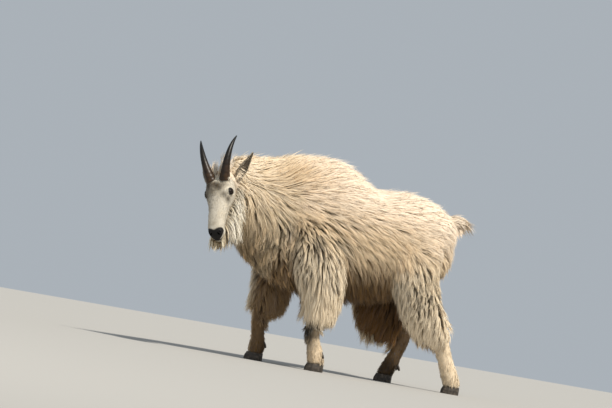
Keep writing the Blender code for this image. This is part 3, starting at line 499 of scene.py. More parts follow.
def combine(body, tools, operation):
    """Joins a set of closed bodies to this one, or cuts them out of it."""
    group = bpy.data.collections.new("operands")
    bpy.context.scene.collection.children.link(group)
    for tool in tools:
        group.objects.link(tool)
    modifier = body.modifiers.new("join", "BOOLEAN")
    modifier.operation = operation
    modifier.solver = "MANIFOLD"
    modifier.operand_type = "COLLECTION"
    modifier.collection = group
    baked(body)
    bpy.data.collections.remove(group)
    remove(tools)
    return body


def search_tree(points, faces):
    """A tree that finds the nearest place on a surface."""
    return BVHTree.FromPolygons([Vector(point) for point in points], [tuple(face) for face in faces])


def eye_axes(side):
    """The way an eye looks, and two directions across it."""
    out = unit(LEFT * (0.88 * side) + BROW * 0.36 + NOSE * 0.22)
    along = unit(NOSE - out * NOSE.dot(out))
    return out, along, out.cross(along)


def eye_place(side):
    """The middle of an eye."""
    return on_head(0.0, side * EYE_ACROSS, EYE_UP)


def ear_way(side):
    """The direction an ear points in and the way its cup opens, in the head's frame."""
    if side > 0:
        way = unit((-0.117, 0.094, 0.036))
        opening = Vector((0.62, 0.78, 0.02))
    else:
        way = unit((-0.118, -0.077, -0.012))
        opening = Vector((0.30, -0.45, 0.80))
    return way, unit(opening - way * opening.dot(way))


# An ear along its length: the share of the length, half its width and the depth of its cup.
EAR_SHAPE = (
    (0.00, 0.013, 0.012), (0.14, 0.019, 0.018), (0.30, 0.024, 0.019), (0.48, 0.024, 0.016),
    (0.66, 0.018, 0.012), (0.82, 0.011, 0.008), (0.93, 0.0060, 0.0055), (1.0, 0.0030, 0.0035),
)


# The bare head and the skin

# Half of the mouth's line in the head's frame, from its corner to the middle.
MOUTH_LINE = (
    (0.120, 0.052, -0.073), (0.140, 0.050, -0.069), (0.160, 0.047, -0.066), (0.178, 0.043, -0.064),
    (0.195, 0.038, -0.0625), (0.208, 0.028, -0.0615), (0.220, 0.016, -0.0605), (0.227, 0.006, -0.0600),
    (0.228, 0.0, -0.0595),
)


def swollen_head():
    """A lofted skull with brows, tear ridges, cheeks, lips, nose wings, chin and horn roots melted on."""
    upright = (LEFT, BROW, NOSE)
    parts = [loft("skull", head_rings(5, 64, 0.0020))]
    for side in (1, -1):
        out, _, across = eye_axes(side)
        centre = eye_place(side)
        lying = (NOSE, across, out)
        root = on_head(HORN_BASE[0] - 0.002, side * HORN_BASE[1], 0.034)
        for name, place, axes, radii in (
            ("brow", centre - out * 0.003 - NOSE * 0.007 + BROW * 0.009, lying, (0.028, 0.016, 0.014)),
            ("tear_ridge", centre - out * 0.010 + NOSE * 0.012, lying, (0.022, 0.014, 0.012)),
            ("cheek", on_head(0.000, side * 0.036, -0.078), (NOSE, BROW, LEFT), (0.055, 0.038, 0.022)),
            ("lip", on_head(0.182, side * 0.015, -0.043), upright, (0.0205, 0.022, 0.028)),
            ("wing", on_head(0.196, side * 0.0205, -0.0205), upright, (0.0105, 0.0120, 0.0165)),
            ("horn_root", root, upright, (0.027, 0.012, 0.027)),
        ):
            parts.append(ball(name, place, axes, radii))
    parts.append(ball("chin", on_head(0.187, 0.0, -0.080), upright, (0.0215, 0.012, 0.022)))
    return relax(remesh(join("head", parts), HEAD_GRID), 0.5, 7)


def eye_opening(side):
    """The body that cuts the almond between the lids."""
    out, along, across = eye_axes(side)
    rings = []
    for reach, wide in ((0.006, 0.94), (0.012, 0.97), (0.024, 1.10)):
        middle = eye_place(side) + out * reach
        ring = []
        for c, s in circle(28):
            tall = EYE_SLIT[1] if s > 0 else EYE_SLIT[2]
            pinch = 1.0 - 0.24 * abs(c) ** 3
            ring.append(middle + along * (EYE_SLIT[0] * wide * c) + across * (tall * wide * s * pinch))
        rings.append(ring)
    return loft("opening", rings)


def head_skin():
    """The bare head with its lids, eye sockets, nostrils, mouth and the cleft below the nose."""
    head = swollen_head()
    lids = []
    holes = []
    for side in (1, -1):
        out, along, across = eye_axes(side)
        centre = eye_place(side)
        lids.append(ball("lid", centre, (along, across, out), (EYE_RADIUS + 0.0024,) * 3, 24, 36))
        holes.append(ball("socket", centre, (along, across, out), (EYE_RADIUS + 0.0003,) * 3, 20, 32))
        holes.append(eye_opening(side))
        way = unit(NOSE * 0.80 + LEFT * 0.62 * side + BROW * 0.05)
        lead = BROW * 0.85 - LEFT * 0.30 * side
        lead = unit(lead - way * lead.dot(way))
        for place, radii in (
            ((0.2090, side * 0.0170, -0.0215), (0.0085, 0.0040, 0.014)),
            ((0.2040, side * 0.0245, -0.0150), (0.0060, 0.0028, 0.010)),
        ):
            holes.append(ball("nostril", on_head(*place), (lead, way.cross(lead), way), radii, 10, 16))
    combine(head, lids, "UNION")
    mesh = head.data
    tree = search_tree([vertex.co for vertex in mesh.vertices], [face.vertices for face in mesh.polygons])

    def traced(line, lift):
        """A line of the head's frame laid on the surface, a little above it."""
        hits = [tree.find_nearest(on_head(*point)) for point in line]
        return [hit[0] + hit[1] * lift for hit in hits]

    lips = MOUTH_LINE + tuple((f, -l, t) for f, l, t in MOUTH_LINE[-2::-1])
    shares = [0.25, 0.6] + [1.0] * (len(lips) - 4) + [0.6, 0.25]
    holes.append(cord("mouth", traced(lips, 0.0002), 0.0020, 10, shares))
    cleft = [(0.235, 0.0, -0.030 - 0.0046 * index) for index in range(7)]
    holes.append(cord("cleft", traced(cleft, 0.0003), 0.0011, 8, (0.3, 0.8, 1.0, 1.0, 1.0, 1.0, 0.9)))
    return combine(head, holes, "DIFFERENCE")


def lead_of(name):
    """The way the front of a limb or neck faces."""
    return UP if name in ("neck", "tail") else FORWARD


def body_skin():
    """The trunk, neck, legs and tail melted into one surface."""
    parts = [loft("trunk", trunk_rings())]
    for name, rows in LIMBS.items():
        start = FORWARD if name == "neck" else None
        end = DOWN if name.startswith("shank") else None
        parts.append(loft(name, limb_rings(rows, lead_of(name), start, end)))
    # Fullness where the limbs join the trunk, and the joints of the legs.
    for place, radii in (
        ((-0.400, -0.085, 0.60), (0.080, 0.060, 0.130)), ((-0.430, 0.085, 0.60), (0.080, 0.060, 0.130)),
        ((0.215, -0.085, 0.62), (0.110, 0.070, 0.120)), ((0.190, 0.085, 0.62), (0.110, 0.070, 0.120)),
        ((-0.262, -0.117, 0.183), (0.034, 0.034, 0.036)), ((-0.452, 0.116, 0.178), (0.034, 0.034, 0.036)),
        ((0.352, -0.124, 0.262), (0.050, 0.036, 0.042)), ((0.276, 0.124, 0.262), (0.046, 0.034, 0.042)),
    ):
        parts.append(ball("mass", Vector(place), (-FORWARD, ACROSS, UP), radii, 14, 24))
    return relax(remesh(join("body", parts), BODY_GRID), 0.5, 8)


# Work on arrays of points

def ease(values, low, high):
    """A smooth step from 0 at low to 1 at high."""
    t = np.clip((values - low) / (high - low), 0.0, 1.0)
    return t * t * (3.0 - 2.0 * t)


def mixed(rows, other, share):
    """Colours or ways moved towards another by a share for each."""
    return rows + (np.asarray(other) - rows) * share[:, None]


def swell(points, centre, radii):
    """A soft round weight: 1 at the centre, fading over the radii along each axis."""
    return np.exp(-(((points - np.array(centre)) / np.array(radii)) ** 2).sum(axis=1))


def directed(rows):
    """Vectors at length one."""
    return rows / np.maximum(np.linalg.norm(rows, axis=-1, keepdims=True), 1e-9)


def flattened(ways, normals, share=1.0):
    """Ways with a share of their part along the normals taken out."""
    return directed(ways - normals * (ways * normals).sum(axis=1)[:, None] * share)


def rotated(vectors, axes, angles):
    """Vectors turned about unit axes by angles."""
    c = np.cos(angles)[:, None]
    s = np.sin(angles)[:, None]
    along = (vectors * axes).sum(axis=1)[:, None]
    return vectors * c + np.cross(axes, vectors) * s + axes * along * (1.0 - c)


def surface(body):
    """A body's points, normals and triangles as arrays."""
    mesh = body.data
    mesh.calc_loop_triangles()

    def column(items, key, kind):
        """Three values of each item."""
        values = np.zeros(len(items) * 3, kind)
        items.foreach_get(key, values)
        return values.reshape(-1, 3)

    return (column(mesh.vertices, "co", float), column(mesh.vertices, "normal", float),
            column(mesh.loop_triangles, "vertices", np.int32))


def nearest(places, others):
    """For each place, the index of the nearest of the others."""
    tree = KDTree(len(others))
    for index, other in enumerate(others):
        tree.insert(other, index)
    tree.balance()
    return np.array([tree.find(place)[1] for place in places])


def sample(points, triangles, count, draw):
    """Even random places on a surface, with their normals."""
    a, b, c = (points[triangles[:, k]] for k in range(3))
    cross = np.cross(b - a, c - a)
    area = np.linalg.norm(cross, axis=1)
    pick = draw.choice(len(triangles), size=count, p=area / area.sum())
    u = np.sqrt(draw.random(count))
    v = draw.random(count)
    place = a[pick] * (1 - u)[:, None] + b[pick] * (u * (1 - v))[:, None] + c[pick] * (u * v)[:, None]
    return place, cross[pick] / area[pick][:, None]


AROUND = tuple(itertools.product((-1, 0, 1), repeat=3))


def thin_out(places, space):
    """Indices of places that keep a distance from those kept before them."""
    cells = {}
    kept = []
    for index, (x, y, z) in enumerate(places.tolist()):
        row, column, level = int(x // space), int(y // space), int(z // space)
        close = any(
            (a - x) * (a - x) + (b - y) * (b - y) + (c - z) * (c - z) < space * space
            for i, j, k in AROUND for a, b, c in cells.get((row + i, column + j, level + k), ())
        )
        if not close:
            cells.setdefault((row, column, level), []).append((x, y, z))
            kept.append(index)
    return np.array(kept, int)


# Where a point of the skin is: its region, how far along and round it, and the coat's depth there

REGIONS = ("head", "trunk", "neck", "foreleg_left", "foreleg_right", "hindleg_left", "hindleg_right",
           "shank_front_left", "shank_front_right", "shank_hind_left", "shank_hind_right", "tail")


def at(region, *words):
    """Which points are in the regions whose names start with one of the words."""
    return np.isin(region, [index for index, name in enumerate(REGIONS) if name.startswith(words)])


def limb_table(rows, lead):
    """Samples along a limb: middles, directions, front and side axes, and its sizes."""
    run = spread(rows, 8)
    middles = run[:, :3]
    ways = directed(np.gradient(middles, axis=0))
    fronts = flattened(np.tile(np.array(lead), (len(ways), 1)), ways)
    return middles, ways, fronts, np.cross(ways, fronts), run[:, 3:7]


def locate(points):
    """Region index, share along it, turn round it and coat depth, for many points of the drawing frame."""
    count = len(points)
    best = np.full(count, np.inf)
    region = np.zeros(count, int)
    along, turn, depth = np.zeros((3, count))

    def keep(name, ratio, share, angle, coat):
        """Takes over the points that are nearer to this part than to those before it."""
        nearer = ratio < best
        region[nearer] = REGIONS.index(name)
        for values, found in ((best, ratio), (along, share), (turn, angle), (depth, coat)):
            values[nearer] = found[nearer]

    run = spread(HEAD_RINGS, 6)
    local = in_head(points)
    f = np.clip(local[:, 0], run[0, 0], run[-1, 0])
    top, bottom, half = (np.interp(f, run[:, 0], run[:, column]) for column in (1, 2, 3))
    over = (local[:, 0] - f) / 0.03
    up = (local[:, 2] - (top + bottom) / 2.0) / np.maximum((top - bottom) / 2.0, 0.02)
    ratio = np.sqrt(over ** 2 + (local[:, 1] / np.maximum(half, 0.02)) ** 2 + up ** 2)
    keep("head", ratio, (f - run[0, 0]) / (run[-1, 0] - run[0, 0]),
         np.arctan2(local[:, 1] / half, up), np.full(count, 0.010))

    run = spread(TRUNK, 6)
    x = np.clip(points[:, 0], run[0, 0], run[-1, 0])
    top, bottom, half, coat = (np.interp(x, run[:, 0], run[:, column]) for column in (1, 2, 3, 4))
    up = (points[:, 2] - (top + bottom) / 2.0) / ((top - bottom) / 2.0 - coat * SKIN_SHARE)
    out = points[:, 1] / (half - coat * SKIN_SHARE)
    ratio = np.sqrt(((points[:, 0] - x) / 0.06) ** 2 + up ** 2 + out ** 2)
    keep("trunk", ratio, (x - run[0, 0]) / (run[-1, 0] - run[0, 0]), np.arctan2(out, up), coat)

    for name, rows in LIMBS.items():
        middles, ways, fronts, sides, sizes = limb_table(rows, lead_of(name))
        closest = np.linalg.norm(points[:, None, :] - middles[None, :, :], axis=2).argmin(axis=1)
        offset = points - middles[closest]
        front, side, past = ((offset * axes[closest]).sum(axis=1) for axes in (fronts, sides, ways))
        wide, ahead, behind, coat = sizes[closest].T
        reach = np.where(front > 0, ahead, behind) - coat * SKIN_SHARE
        wide = wide - coat * SKIN_SHARE
        ratio = np.sqrt((front / reach) ** 2 + (side / wide) ** 2 + (past / 0.06) ** 2)
        keep(name, ratio, closest / (len(middles) - 1.0), np.arctan2(side / wide, front / reach), coat)
    return region, along, turn, depth


def unwrapped(region, along, turn):
    """A place on a flat map of the skin: one tile of a four by three sheet for each region."""
    column = region % 4
    row = region // 4
    u = (column + 0.04 + 0.92 * (turn / (2.0 * math.pi) + 0.5)) / 4.0
    v = (row + 0.04 + 0.92 * along) / 3.0
    return np.stack((u, v), axis=1)


# Colours, in linear light

CREAM = np.array((0.95, 0.83, 0.70))
FLANK = np.array((0.88, 0.71, 0.50))
SHADE = np.array((0.27, 0.165, 0.075))
NECK_TONE = np.array((0.88, 0.75, 0.55))
LEG_TONE = np.array((1.00, 0.87, 0.68))
SHANK_TONE = np.array((0.60, 0.46, 0.31))
FACE_TONE = np.array((0.60, 0.56, 0.49))
TIP_BROWN = np.array((0.46, 0.29, 0.12))
# Painted shade under the belly.
BELLY_SHADE = np.array((0.13, 0.07, 0.022))

# Marks on the head: f, l, t, radius, colour, strength. The one on the right side of the muzzle is painted
# shade.
HEAD_MARKS = (
    (-0.022, -0.046, 0.034, 0.030, (0.06, 0.045, 0.032), 1.00),
    (-0.050, -0.066, -0.005, 0.026, (0.09, 0.070, 0.048), 0.90),
    (0.014, -0.056, 0.010, 0.025, (0.04, 0.032, 0.024), 1.00),
    (-0.028, -0.014, 0.044, 0.019, (0.11, 0.070, 0.035), 0.95),
    (-0.012, 0.004, 0.042, 0.018, (0.05, 0.035, 0.020), 1.00),
    (-0.002, 0.016, 0.041, 0.015, (0.10, 0.080, 0.055), 0.90),
    (0.012, -0.022, 0.038, 0.022, (0.20, 0.165, 0.120), 0.75),
    (-0.024, 0.034, 0.039, 0.018, (0.12, 0.100, 0.075), 0.85),
    (0.026, 0.037, 0.024, 0.015, (0.10, 0.085, 0.062), 0.92),
    (0.038, 0.050, 0.001, 0.017, (0.09, 0.075, 0.055), 0.95),
    (0.016, 0.046, -0.014, 0.014, (0.24, 0.200, 0.150), 0.60),
    (-0.046, 0.000, 0.044, 0.012, (0.92, 0.86, 0.74), 0.80),
    (-0.044, -0.020, 0.044, 0.010, (0.92, 0.86, 0.74), 0.70),
    (-0.040, 0.040, 0.038, 0.014, (0.92, 0.86, 0.74), 0.70),
    (0.000, 0.052, 0.022, 0.014, (0.90, 0.85, 0.74), 0.60),
    (-0.034, 0.066, -0.050, 0.018, (0.30, 0.190, 0.100), 0.75),
    (-0.004, 0.064, -0.070, 0.016, (0.32, 0.210, 0.110), 0.70),
    (0.030, 0.056, -0.075, 0.016, (0.34, 0.220, 0.120), 0.60),
    (-0.060, 0.062, -0.025, 0.020, (0.26, 0.180, 0.110), 0.65),
    # Painted shade on the right side of the muzzle.
    (0.075, -0.042, -0.020, 0.034, (0.34, 0.280, 0.200), 0.60),
    (0.166, 0.002, 0.008, 0.012, (0.42, 0.370, 0.300), 0.55),
    (0.120, 0.024, 0.012, 0.016, (0.50, 0.440, 0.350), 0.35),
)

# Marks on the body: x, y, z, radii, colour, strength. The last two are painted shade on the front of the
# chest and under the throat.
BODY_MARKS = (
    (-0.467, -0.20, 0.600, (0.020, 0.10, 0.042), (0.36, 0.32, 0.28), 0.90),
    (-0.450, -0.20, 0.510, (0.120, 0.12, 0.110), (0.66, 0.52, 0.34), 0.20),
    (-0.440, -0.12, 0.860, (0.140, 0.18, 0.090), (0.72, 0.54, 0.33), 0.75),
    (-0.380, -0.20, 0.640, (0.110, 0.12, 0.050), (0.50, 0.37, 0.21), 0.35),
    (0.240, -0.16, 0.480, (0.090, 0.12, 0.110), (0.62, 0.48, 0.30), 0.35),
    (0.340, 0.0, 0.600, (0.060, 0.14, 0.090), (0.74, 0.56, 0.32), 0.60),
    (-0.298, -0.14, 0.160, (0.052, 0.08, 0.062), (0.010, 0.007, 0.005), 1.00),
    # Painted shade on the front of the chest and under the throat.
    (-0.600, -0.02, 0.500, (0.100, 0.16, 0.140), (0.34, 0.23, 0.12), 0.75),
    (-0.720, -0.02, 0.640, (0.060, 0.10, 0.080), (0.34, 0.23, 0.12), 0.60),
)


def coat_colour(points, normals, region):
    """The coat's colour at points of the skin, in the drawing frame, with painted shade and painted light on
    some parts.
    """
    x, y, z = points.T
    body = at(region, "head", "trunk", "neck")
    # Painted shade: the inner sides of the legs, the undersides of the trunk and neck, and the inner sides
    # of the shanks are darkened towards SHADE.
    inward = -normals[:, 1] * np.sign(y)
    inner = ease(inward, -0.10, 0.55) * ease(-z, -0.56, -0.42)
    colour = np.tile(FLANK, (len(points), 1))
    for tone, share in (
        (CREAM, ease(z, 0.60, 0.84)),
        (CREAM, 0.8 * ease(x, 0.05, 0.32) * ease(z, 0.50, 0.66)),
        (SHADE, 0.9 * body * ease(-normals[:, 2], 0.10, 0.70) * ease(-z, -0.62, -0.44)),
        (NECK_TONE, 0.55 * at(region, "neck")),
        (LEG_TONE, 0.95 * at(region, "foreleg", "hindleg") * ease(-z, -0.64, -0.44)),
        (SHANK_TONE, 1.0 * at(region, "shank")),
        (SHADE, 0.92 * inner),
        (SHADE * 0.45, 0.80 * inner * at(region, "shank")),
        # Painted light: the shanks of the left legs are lighter than those of the right.
        (LEG_TONE, 0.60 * at(region, "shank_hind_left") + 0.35 * at(region, "shank_front_left")),
        # Painted shade: the inner side of the right hind shank, very dark.
        (SHADE * 0.25, 0.92 * at(region, "shank_hind_right") * ease(inward, -0.50, 0.20)),
    ):
        colour = mixed(colour, tone, share)
    # Painted shade: the inner side of the right hind leg, darker and browner.
    colour = colour * (1.0 - (inner * at(region, "hindleg_right"))[:, None] * (0.40, 0.52, 0.66))
    # Painted shade under the belly, on the trunk and neck and on the inner sides of the legs below it.
    belly = swell(points, (-0.060, 0.0, 0.395), (0.220, 0.30, 0.075)) * np.where(body, 1.0, inner)
    colour = mixed(colour, BELLY_SHADE, 0.92 * belly)
    face = at(region, "head")
    for *centre, radii, tone, strength in BODY_MARKS:
        colour = mixed(colour, tone, strength * swell(points, centre, radii) * ~face)
    local = in_head(points)
    poll = ease(-local[:, 0], 0.050, 0.085)
    colour[face] = mixed(np.tile(FACE_TONE, (face.sum(), 1)), CREAM, poll[face])
    for *centre, radius, tone, strength in HEAD_MARKS:
        colour = mixed(colour, tone, strength * swell(local, centre, radius) * face * (1.0 - poll))
    return colour


def noses(points):
    """How far a point of the head belongs to the bare black nose, mouth line and eyelid rims."""
    local = in_head(points)
    f, l, t = local.T
    wide = 0.012 + 0.029 * ease(t, -0.058, -0.026)
    upper = 0.198 - 0.46 * np.clip(np.abs(l) - 0.003, 0.0, 0.030)
    pad = ease(wide - np.abs(l), -0.003, 0.003) * ease(f - upper, -0.003, 0.003) * ease(t, -0.066, -0.060)
    mouth = np.exp(-((t + 0.0605) / 0.0045) ** 2) * ease(f, 0.170, 0.200)
    rims = np.zeros(len(points))
    for side in (1, -1):
        out, along, across = (np.array(axis) for axis in eye_axes(side))
        reach = np.asarray(points) - np.array(eye_place(side))
        a = (reach @ along) / EYE_RIM[0]
        b = (reach @ across) / EYE_RIM[1]
        rims = np.maximum(rims, (1.0 - ease(np.sqrt(a * a + b * b), 0.95, 1.15)) * (reach @ out > 0.004))
    return np.clip(np.maximum(np.maximum(pad, mouth), rims), 0.0, 1.0)


# The lie of the coat

def lie_field(points, normals, region):
    """The way the coat lies at points of the skin, as vectors that may leave the surface a little."""
    x, _, z = points.T
    count = len(points)
    table = np.array(FLANK_LIE)
    gaps = (x[:, None] - table[None, :, 0]) ** 2 + (z[:, None] - table[None, :, 1]) ** 2
    weights = 1.0 / (gaps + 0.0025) ** 2
    weights /= weights.sum(axis=1)[:, None]
    way = directed(np.column_stack((weights @ table[:, 2], np.zeros(count), weights @ table[:, 3])))

    # Back over the crest, standing on the hump, then down the chest and the seat, and under the belly.
    hump = swell(points, (-0.42, 0.0, 0.0), (0.17, ANY, ANY))
    crest = mixed(np.tile((1.0, 0.0, 0.05), (count, 1)), (0.35, 0.0, 0.25), hump)
    for other, share in (
        (crest, ease(normals[:, 2], 0.35, 0.90)),
        ((-0.15, 0.0, -1.0), ease(-normals[:, 0], 0.45, 0.90) * ease(-z, -0.80, -0.60)),
        ((0.40, 0.0, -1.0), ease(normals[:, 0], 0.50, 0.90)),
        ((0.45, 0.0, -0.90), ease(-normals[:, 2], 0.30, 0.80)),
    ):
        way = mixed(way, other, share)

    # The skirts of the legs hang and fan out fore and aft.
    down = np.column_stack((np.zeros(count), normals[:, 1] * 0.16, np.full(count, -1.0)))
    for name, spreading, swept in (("foreleg_left", 0.9, 0.0), ("foreleg_right", 0.9, 0.0),
                                   ("hindleg_left", 0.45, 0.0), ("hindleg_right", 0.45, 0.28)):
        rows = LIMBS[name][::-1]
        middle = np.interp(z, [row[2] for row in rows], [row[0] for row in rows])
        fan = 0.14 + 5.2 * np.clip(x - middle, -0.04, 0.12)
        here = at(region, name)
        down[here, 0] = fan[here] * spreading - swept
    way = mixed(way, down, ease(-z, -0.60, -0.46) * at(region, "foreleg", "hindleg"))
    way[at(region, "shank")] = (0.04, 0.0, -1.0)
    tail = at(region, "tail")
    way[tail] = np.array((1.0, 0.0, -0.18)) + ease(-normals[tail, 2], -0.2, 0.6)[:, None] * (-0.3, 0.0, -0.6)

    face = at(region, "head")
    local = in_head(points[face])
    cheek = ease(-local[:, 2], 0.030, 0.080)[:, None]
    aside = (np.sign(local[:, 1]) * 0.18)[:, None]
    nose, left, brow = np.array(head_axes())
    way[face] = left * aside - nose * (1.0 - 0.45 * cheek) - brow * 0.75 * cheek
    return way


def stand(points, normals, region):
    """How far the coat stands up from the skin: much on the hump, little on the flanks."""
    hump = swell(points, (-0.40, 0.0, 0.0), (0.19, ANY, ANY)) * ease(points[:, 2], 0.78, 0.92)
    crest = at(region, "neck") * ease(normals[:, 2], 0.30, 0.80)
    return np.clip(0.10 + 0.62 * hump + 0.40 * crest, 0.0, 0.8)


def matting(points):
    """Where the moulting coat is matted into short, crimped locks: shoulder, chest and thigh."""
    shoulder = swell(points, (-0.50, 0.0, 0.54), (0.16, ANY, 0.15))
    thigh = swell(points, (0.21, 0.0, 0.42), (0.09, ANY, 0.13))
    return np.clip(shoulder + 0.8 * thigh, 0.0, 1.0)


def clumping(points, region):
    """How far tufts draw together into matted locks, from 0 to 1."""
    z = points[:, 2]
    armpit = swell(points, (-0.33, 0.0, 0.62), (0.16, ANY, 0.10))
    skirts = (at(region, "foreleg") + 0.85 * at(region, "hindleg")) * (z < 0.40)
    drawn = 0.30 + 0.62 * matting(points) + 0.38 * armpit + 0.40 * ease(-z, -0.72, -0.46)
    return np.clip(drawn - 0.28 * ease(z, 0.66, 0.84) - 0.34 * skirts, 0.02, 0.92)


def hair_sizes(points, region, depth, turn):
    """Length and rise of the hair at points of the skin."""
    x, _, z = points.T
    f, l, t = in_head(points).T
    length = depth * LENGTH_SHARE
    rise = depth * SKIN_SHARE
    face = at(region, "head")
    longer = np.maximum(ease(-f, 0.020, 0.090), ease(-t, 0.070, 0.125) * ease(0.13 - f, 0.0, 0.06))
    muzzle = ease(f, 0.10, 0.17)
    middle = 1.0 - ease(np.abs(l), 0.030, 0.050)
    length = np.where(face, 0.012 + 0.030 * longer - 0.005 * muzzle, length)
    rise = np.where(face, 0.0030 + 0.0090 * longer - 0.0012 * muzzle, rise)
    poll = face & (f < -0.060) & (t > -0.040)
    length = np.where(poll, 0.034 + 0.084 * middle, length)
    rise = np.where(poll, 0.010 + 0.062 * middle, rise)

    # Shorter where it is matted, round the ears, behind the hump, on the seat and at the forelegs' hem.
    open_ear = swell(np.column_stack((f, np.abs(l), t)), (-0.098, 0.062, -0.040), 0.056) * (f < 0.0)
    saddle = swell(points, (-0.110, 0.0, 0.0), (0.075, ANY, ANY)) * ease(z, 0.78, 0.87)
    seat = ease(x, 0.26, 0.32) * ease(-z, -0.70, -0.62) * at(region, "trunk")
    hem = ease(-z, -0.360, -0.230) * at(region, "foreleg")
    for share, shorter, lower in (
        (matting(points), 0.60, 0.0), (open_ear, 0.75, 0.70), (saddle, 0.25, 0.50), (seat, 0.45, 0.0),
        (hem, 0.62, 0.0),
    ):
        length = length * (1.0 - shorter * share)
        rise = rise * (1.0 - lower * share)

    pastern = ease(-z, -0.125, -0.085) * ease(z, 0.030, 0.050)
    behind = ease(np.abs(turn), 1.7, 2.5) * pastern
    shank = at(region, "shank")
    length = np.where(shank, 0.017 + 0.010 * pastern + 0.016 * behind, length)
    rise = np.where(shank, 0.0035 + 0.003 * pastern + 0.006 * behind, rise)
    tail = at(region, "tail")
    length = np.where(tail, TAIL_HAIR[0], length)
    rise = np.where(tail, TAIL_HAIR[1], rise)
    knee = swell(points, (0.0, 0.0, 0.168), (ANY, ANY, 0.034)) * at(region, "shank_front_left")
    knee = knee * ease(-np.abs(turn), -1.5, -0.9)
    return length + 0.020 * knee, rise + 0.014 * knee


def walk(roots, normals, region, lengths, depths, tree, draw):
    """Guide hairs: each starts at its root and runs over the skin, rising to the coat's depth."""
    count = len(roots)
    lifts = stand(roots, normals, region)
    loose = 1.0 - clumping(roots, region)
    plush = ease(roots[:, 2], 0.64, 0.82)
    turns = draw.normal(0.0, 1.0, count) * (0.08 + 0.12 * loose * (1.0 - plush) + 0.34 * matting(roots))
    bends = draw.normal(0.0, 1.0, count) * (0.08 - 0.05 * plush)
    hanging = ease(-normals[:, 2], -0.15, 0.55)
    hold = (1.0 - hanging) * (1.0 - lifts)
    here = roots
    current = normals
    flow = rotated(flattened(lie_field(roots, normals, region), normals, 0.92), normals, turns)
    flow = directed(flow + normals * lifts[:, None])
    paths = [here]
    ups = [current]
    for step in range(1, STEPS + 1):
        here = here + flow * (lengths / STEPS)[:, None]
        hits = [tree.find_nearest(Vector(place)) for place in here]
        found = np.array([hit[0] for hit in hits])
        over = np.array([hit[1] for hit in hits])
        # A hair that is too low is lifted, and one that is too high is drawn back unless it hangs or stands.
        short = depths * (0.16 + 0.84 * (step / STEPS) ** 0.8) - ((here - found) * over).sum(axis=1)
        low = (short > 0.0)[:, None]
        here = here + over * (short[:, None] * np.where(low, 1.0, hold[:, None]))
        current = directed(np.where(low, current * 0.4 + over * 0.6, current + over * (0.5 * hold)[:, None]))
        paths.append(here)
        ups.append(current)
        flow = flow * 0.5 + flattened(lie_field(here, current, region), current, 0.8) * 0.5
        flow[:, 2] -= 0.10 + 0.25 * hanging * ~at(region, "head")
        flow = directed(rotated(flow, current, bends))
    return np.stack(paths, axis=1), np.stack(ups, axis=1)


def straight(roots, normals, ways, lengths, lift):
    """Short guides that lean along their ways and rise a little from the surface."""
    shares = np.linspace(0.0, 1.0, STEPS + 1)[None, :, None]
    run = flattened(ways, normals)[:, None, :] * (lengths[:, None, None] * shares)
    paths = roots[:, None, :] + run + normals[:, None, :] * (lift * shares ** 0.7)
    return paths, np.repeat(normals[:, None, :], STEPS + 1, axis=1)


# Tufts

def store(mesh, name, kind, values, domain="POINT"):
    """Writes a value for each point, corner or edge of a mesh."""
    field = {"FLOAT_COLOR": "color", "FLOAT_VECTOR": "vector"}.get(kind, "value")
    values = np.asarray(values, bool if kind == "BOOLEAN" else np.float32)
    mesh.attributes.new(name, kind, domain).data.foreach_set(field, values.ravel())


def paint(mesh, tones):
    """Writes the coat's colour at each point."""
    store(mesh, "coat", "FLOAT_COLOR", np.concatenate((tones, np.ones((*tones.shape[:-1], 1))), axis=-1))


def tuft_lines(roots, owner, guides, guide_ups, lengths, clump, lengthy, wave, rings, draw):
    """The middle lines of tufts, their outward ways and their directions to the side and out."""
    count = len(roots)
    rows = np.arange(count)
    base = guides[owner]
    base_ups = guide_ups[owner]
    offset = roots - base[:, 0]
    shares = np.linspace(0.0, 1.0, rings + 1)
    phase = draw.uniform(0.0, 2.0 * math.pi, len(guides))[owner] + draw.normal(0.0, 0.5, count)
    pitch = draw.uniform(1.1, 1.9, len(guides))[owner]
    layer = draw.uniform(0.45, 1.08, count)
    slip = draw.normal(0.0, 1.0, (count, 3)) * (0.0018 + 0.0070 * (1.0 - clump) ** 1.5)[:, None] * lengthy
    centres = np.zeros((count, rings + 1, 3))
    normals = np.zeros((count, rings + 1, 3))
    for index, s in enumerate(shares):
        place = np.clip(s * lengths * STEPS, 0.0, STEPS - 0.001 + 0.35 * STEPS)
        low = np.minimum(place.astype(int), STEPS - 1)
        part = (place - low)[:, None]
        guide = base[rows, low] * (1.0 - part) + base[rows, low + 1] * part
        up = directed(base_ups[rows, low] * (1.0 - part) + base_ups[rows, low + 1] * part)
        pull = (1.0 - clump * min(1.0, s * 1.25) ** 1.2)[:, None]
        sunk = ((1.0 - layer) * s * 0.016)[:, None]
        centres[:, index] = guide + offset * pull + slip * s - up * sunk
        normals[:, index] = up
    ways = directed(np.gradient(centres, axis=1))
    across = directed(np.cross(ways, normals))
    sway = np.sin(phase[:, None] + shares * pitch[:, None] * 2.0 * math.pi) * shares
    centres += across * (sway * np.broadcast_to(wave, count)[:, None])[:, :, None]
    centres[:, 0] -= normals[:, 0] * ROOT_SUNK
    outward = np.cross(across, ways)
    spin = draw.normal(0.0, 0.45, count)[:, None, None]
    side = across * np.cos(spin) + outward * np.sin(spin)
    out = outward * np.cos(spin) - across * np.sin(spin)
    return centres, normals, side, out


def tuft_faces(rings):
    """The faces of one tuft: a three-sided tube that runs to a point, open at its sunk root."""
    faces = []
    for low in range(0, (rings - 1) * 3, 3):
        for step in range(3):
            a = low + step
            b = low + (step + 1) % 3
            faces += [(a, b + 3, b), (a, a + 3, b + 3)]
    last = (rings - 1) * 3
    faces += [(last + step, rings * 3, last + (step + 1) % 3) for step in range(3)]
    return np.array(faces)


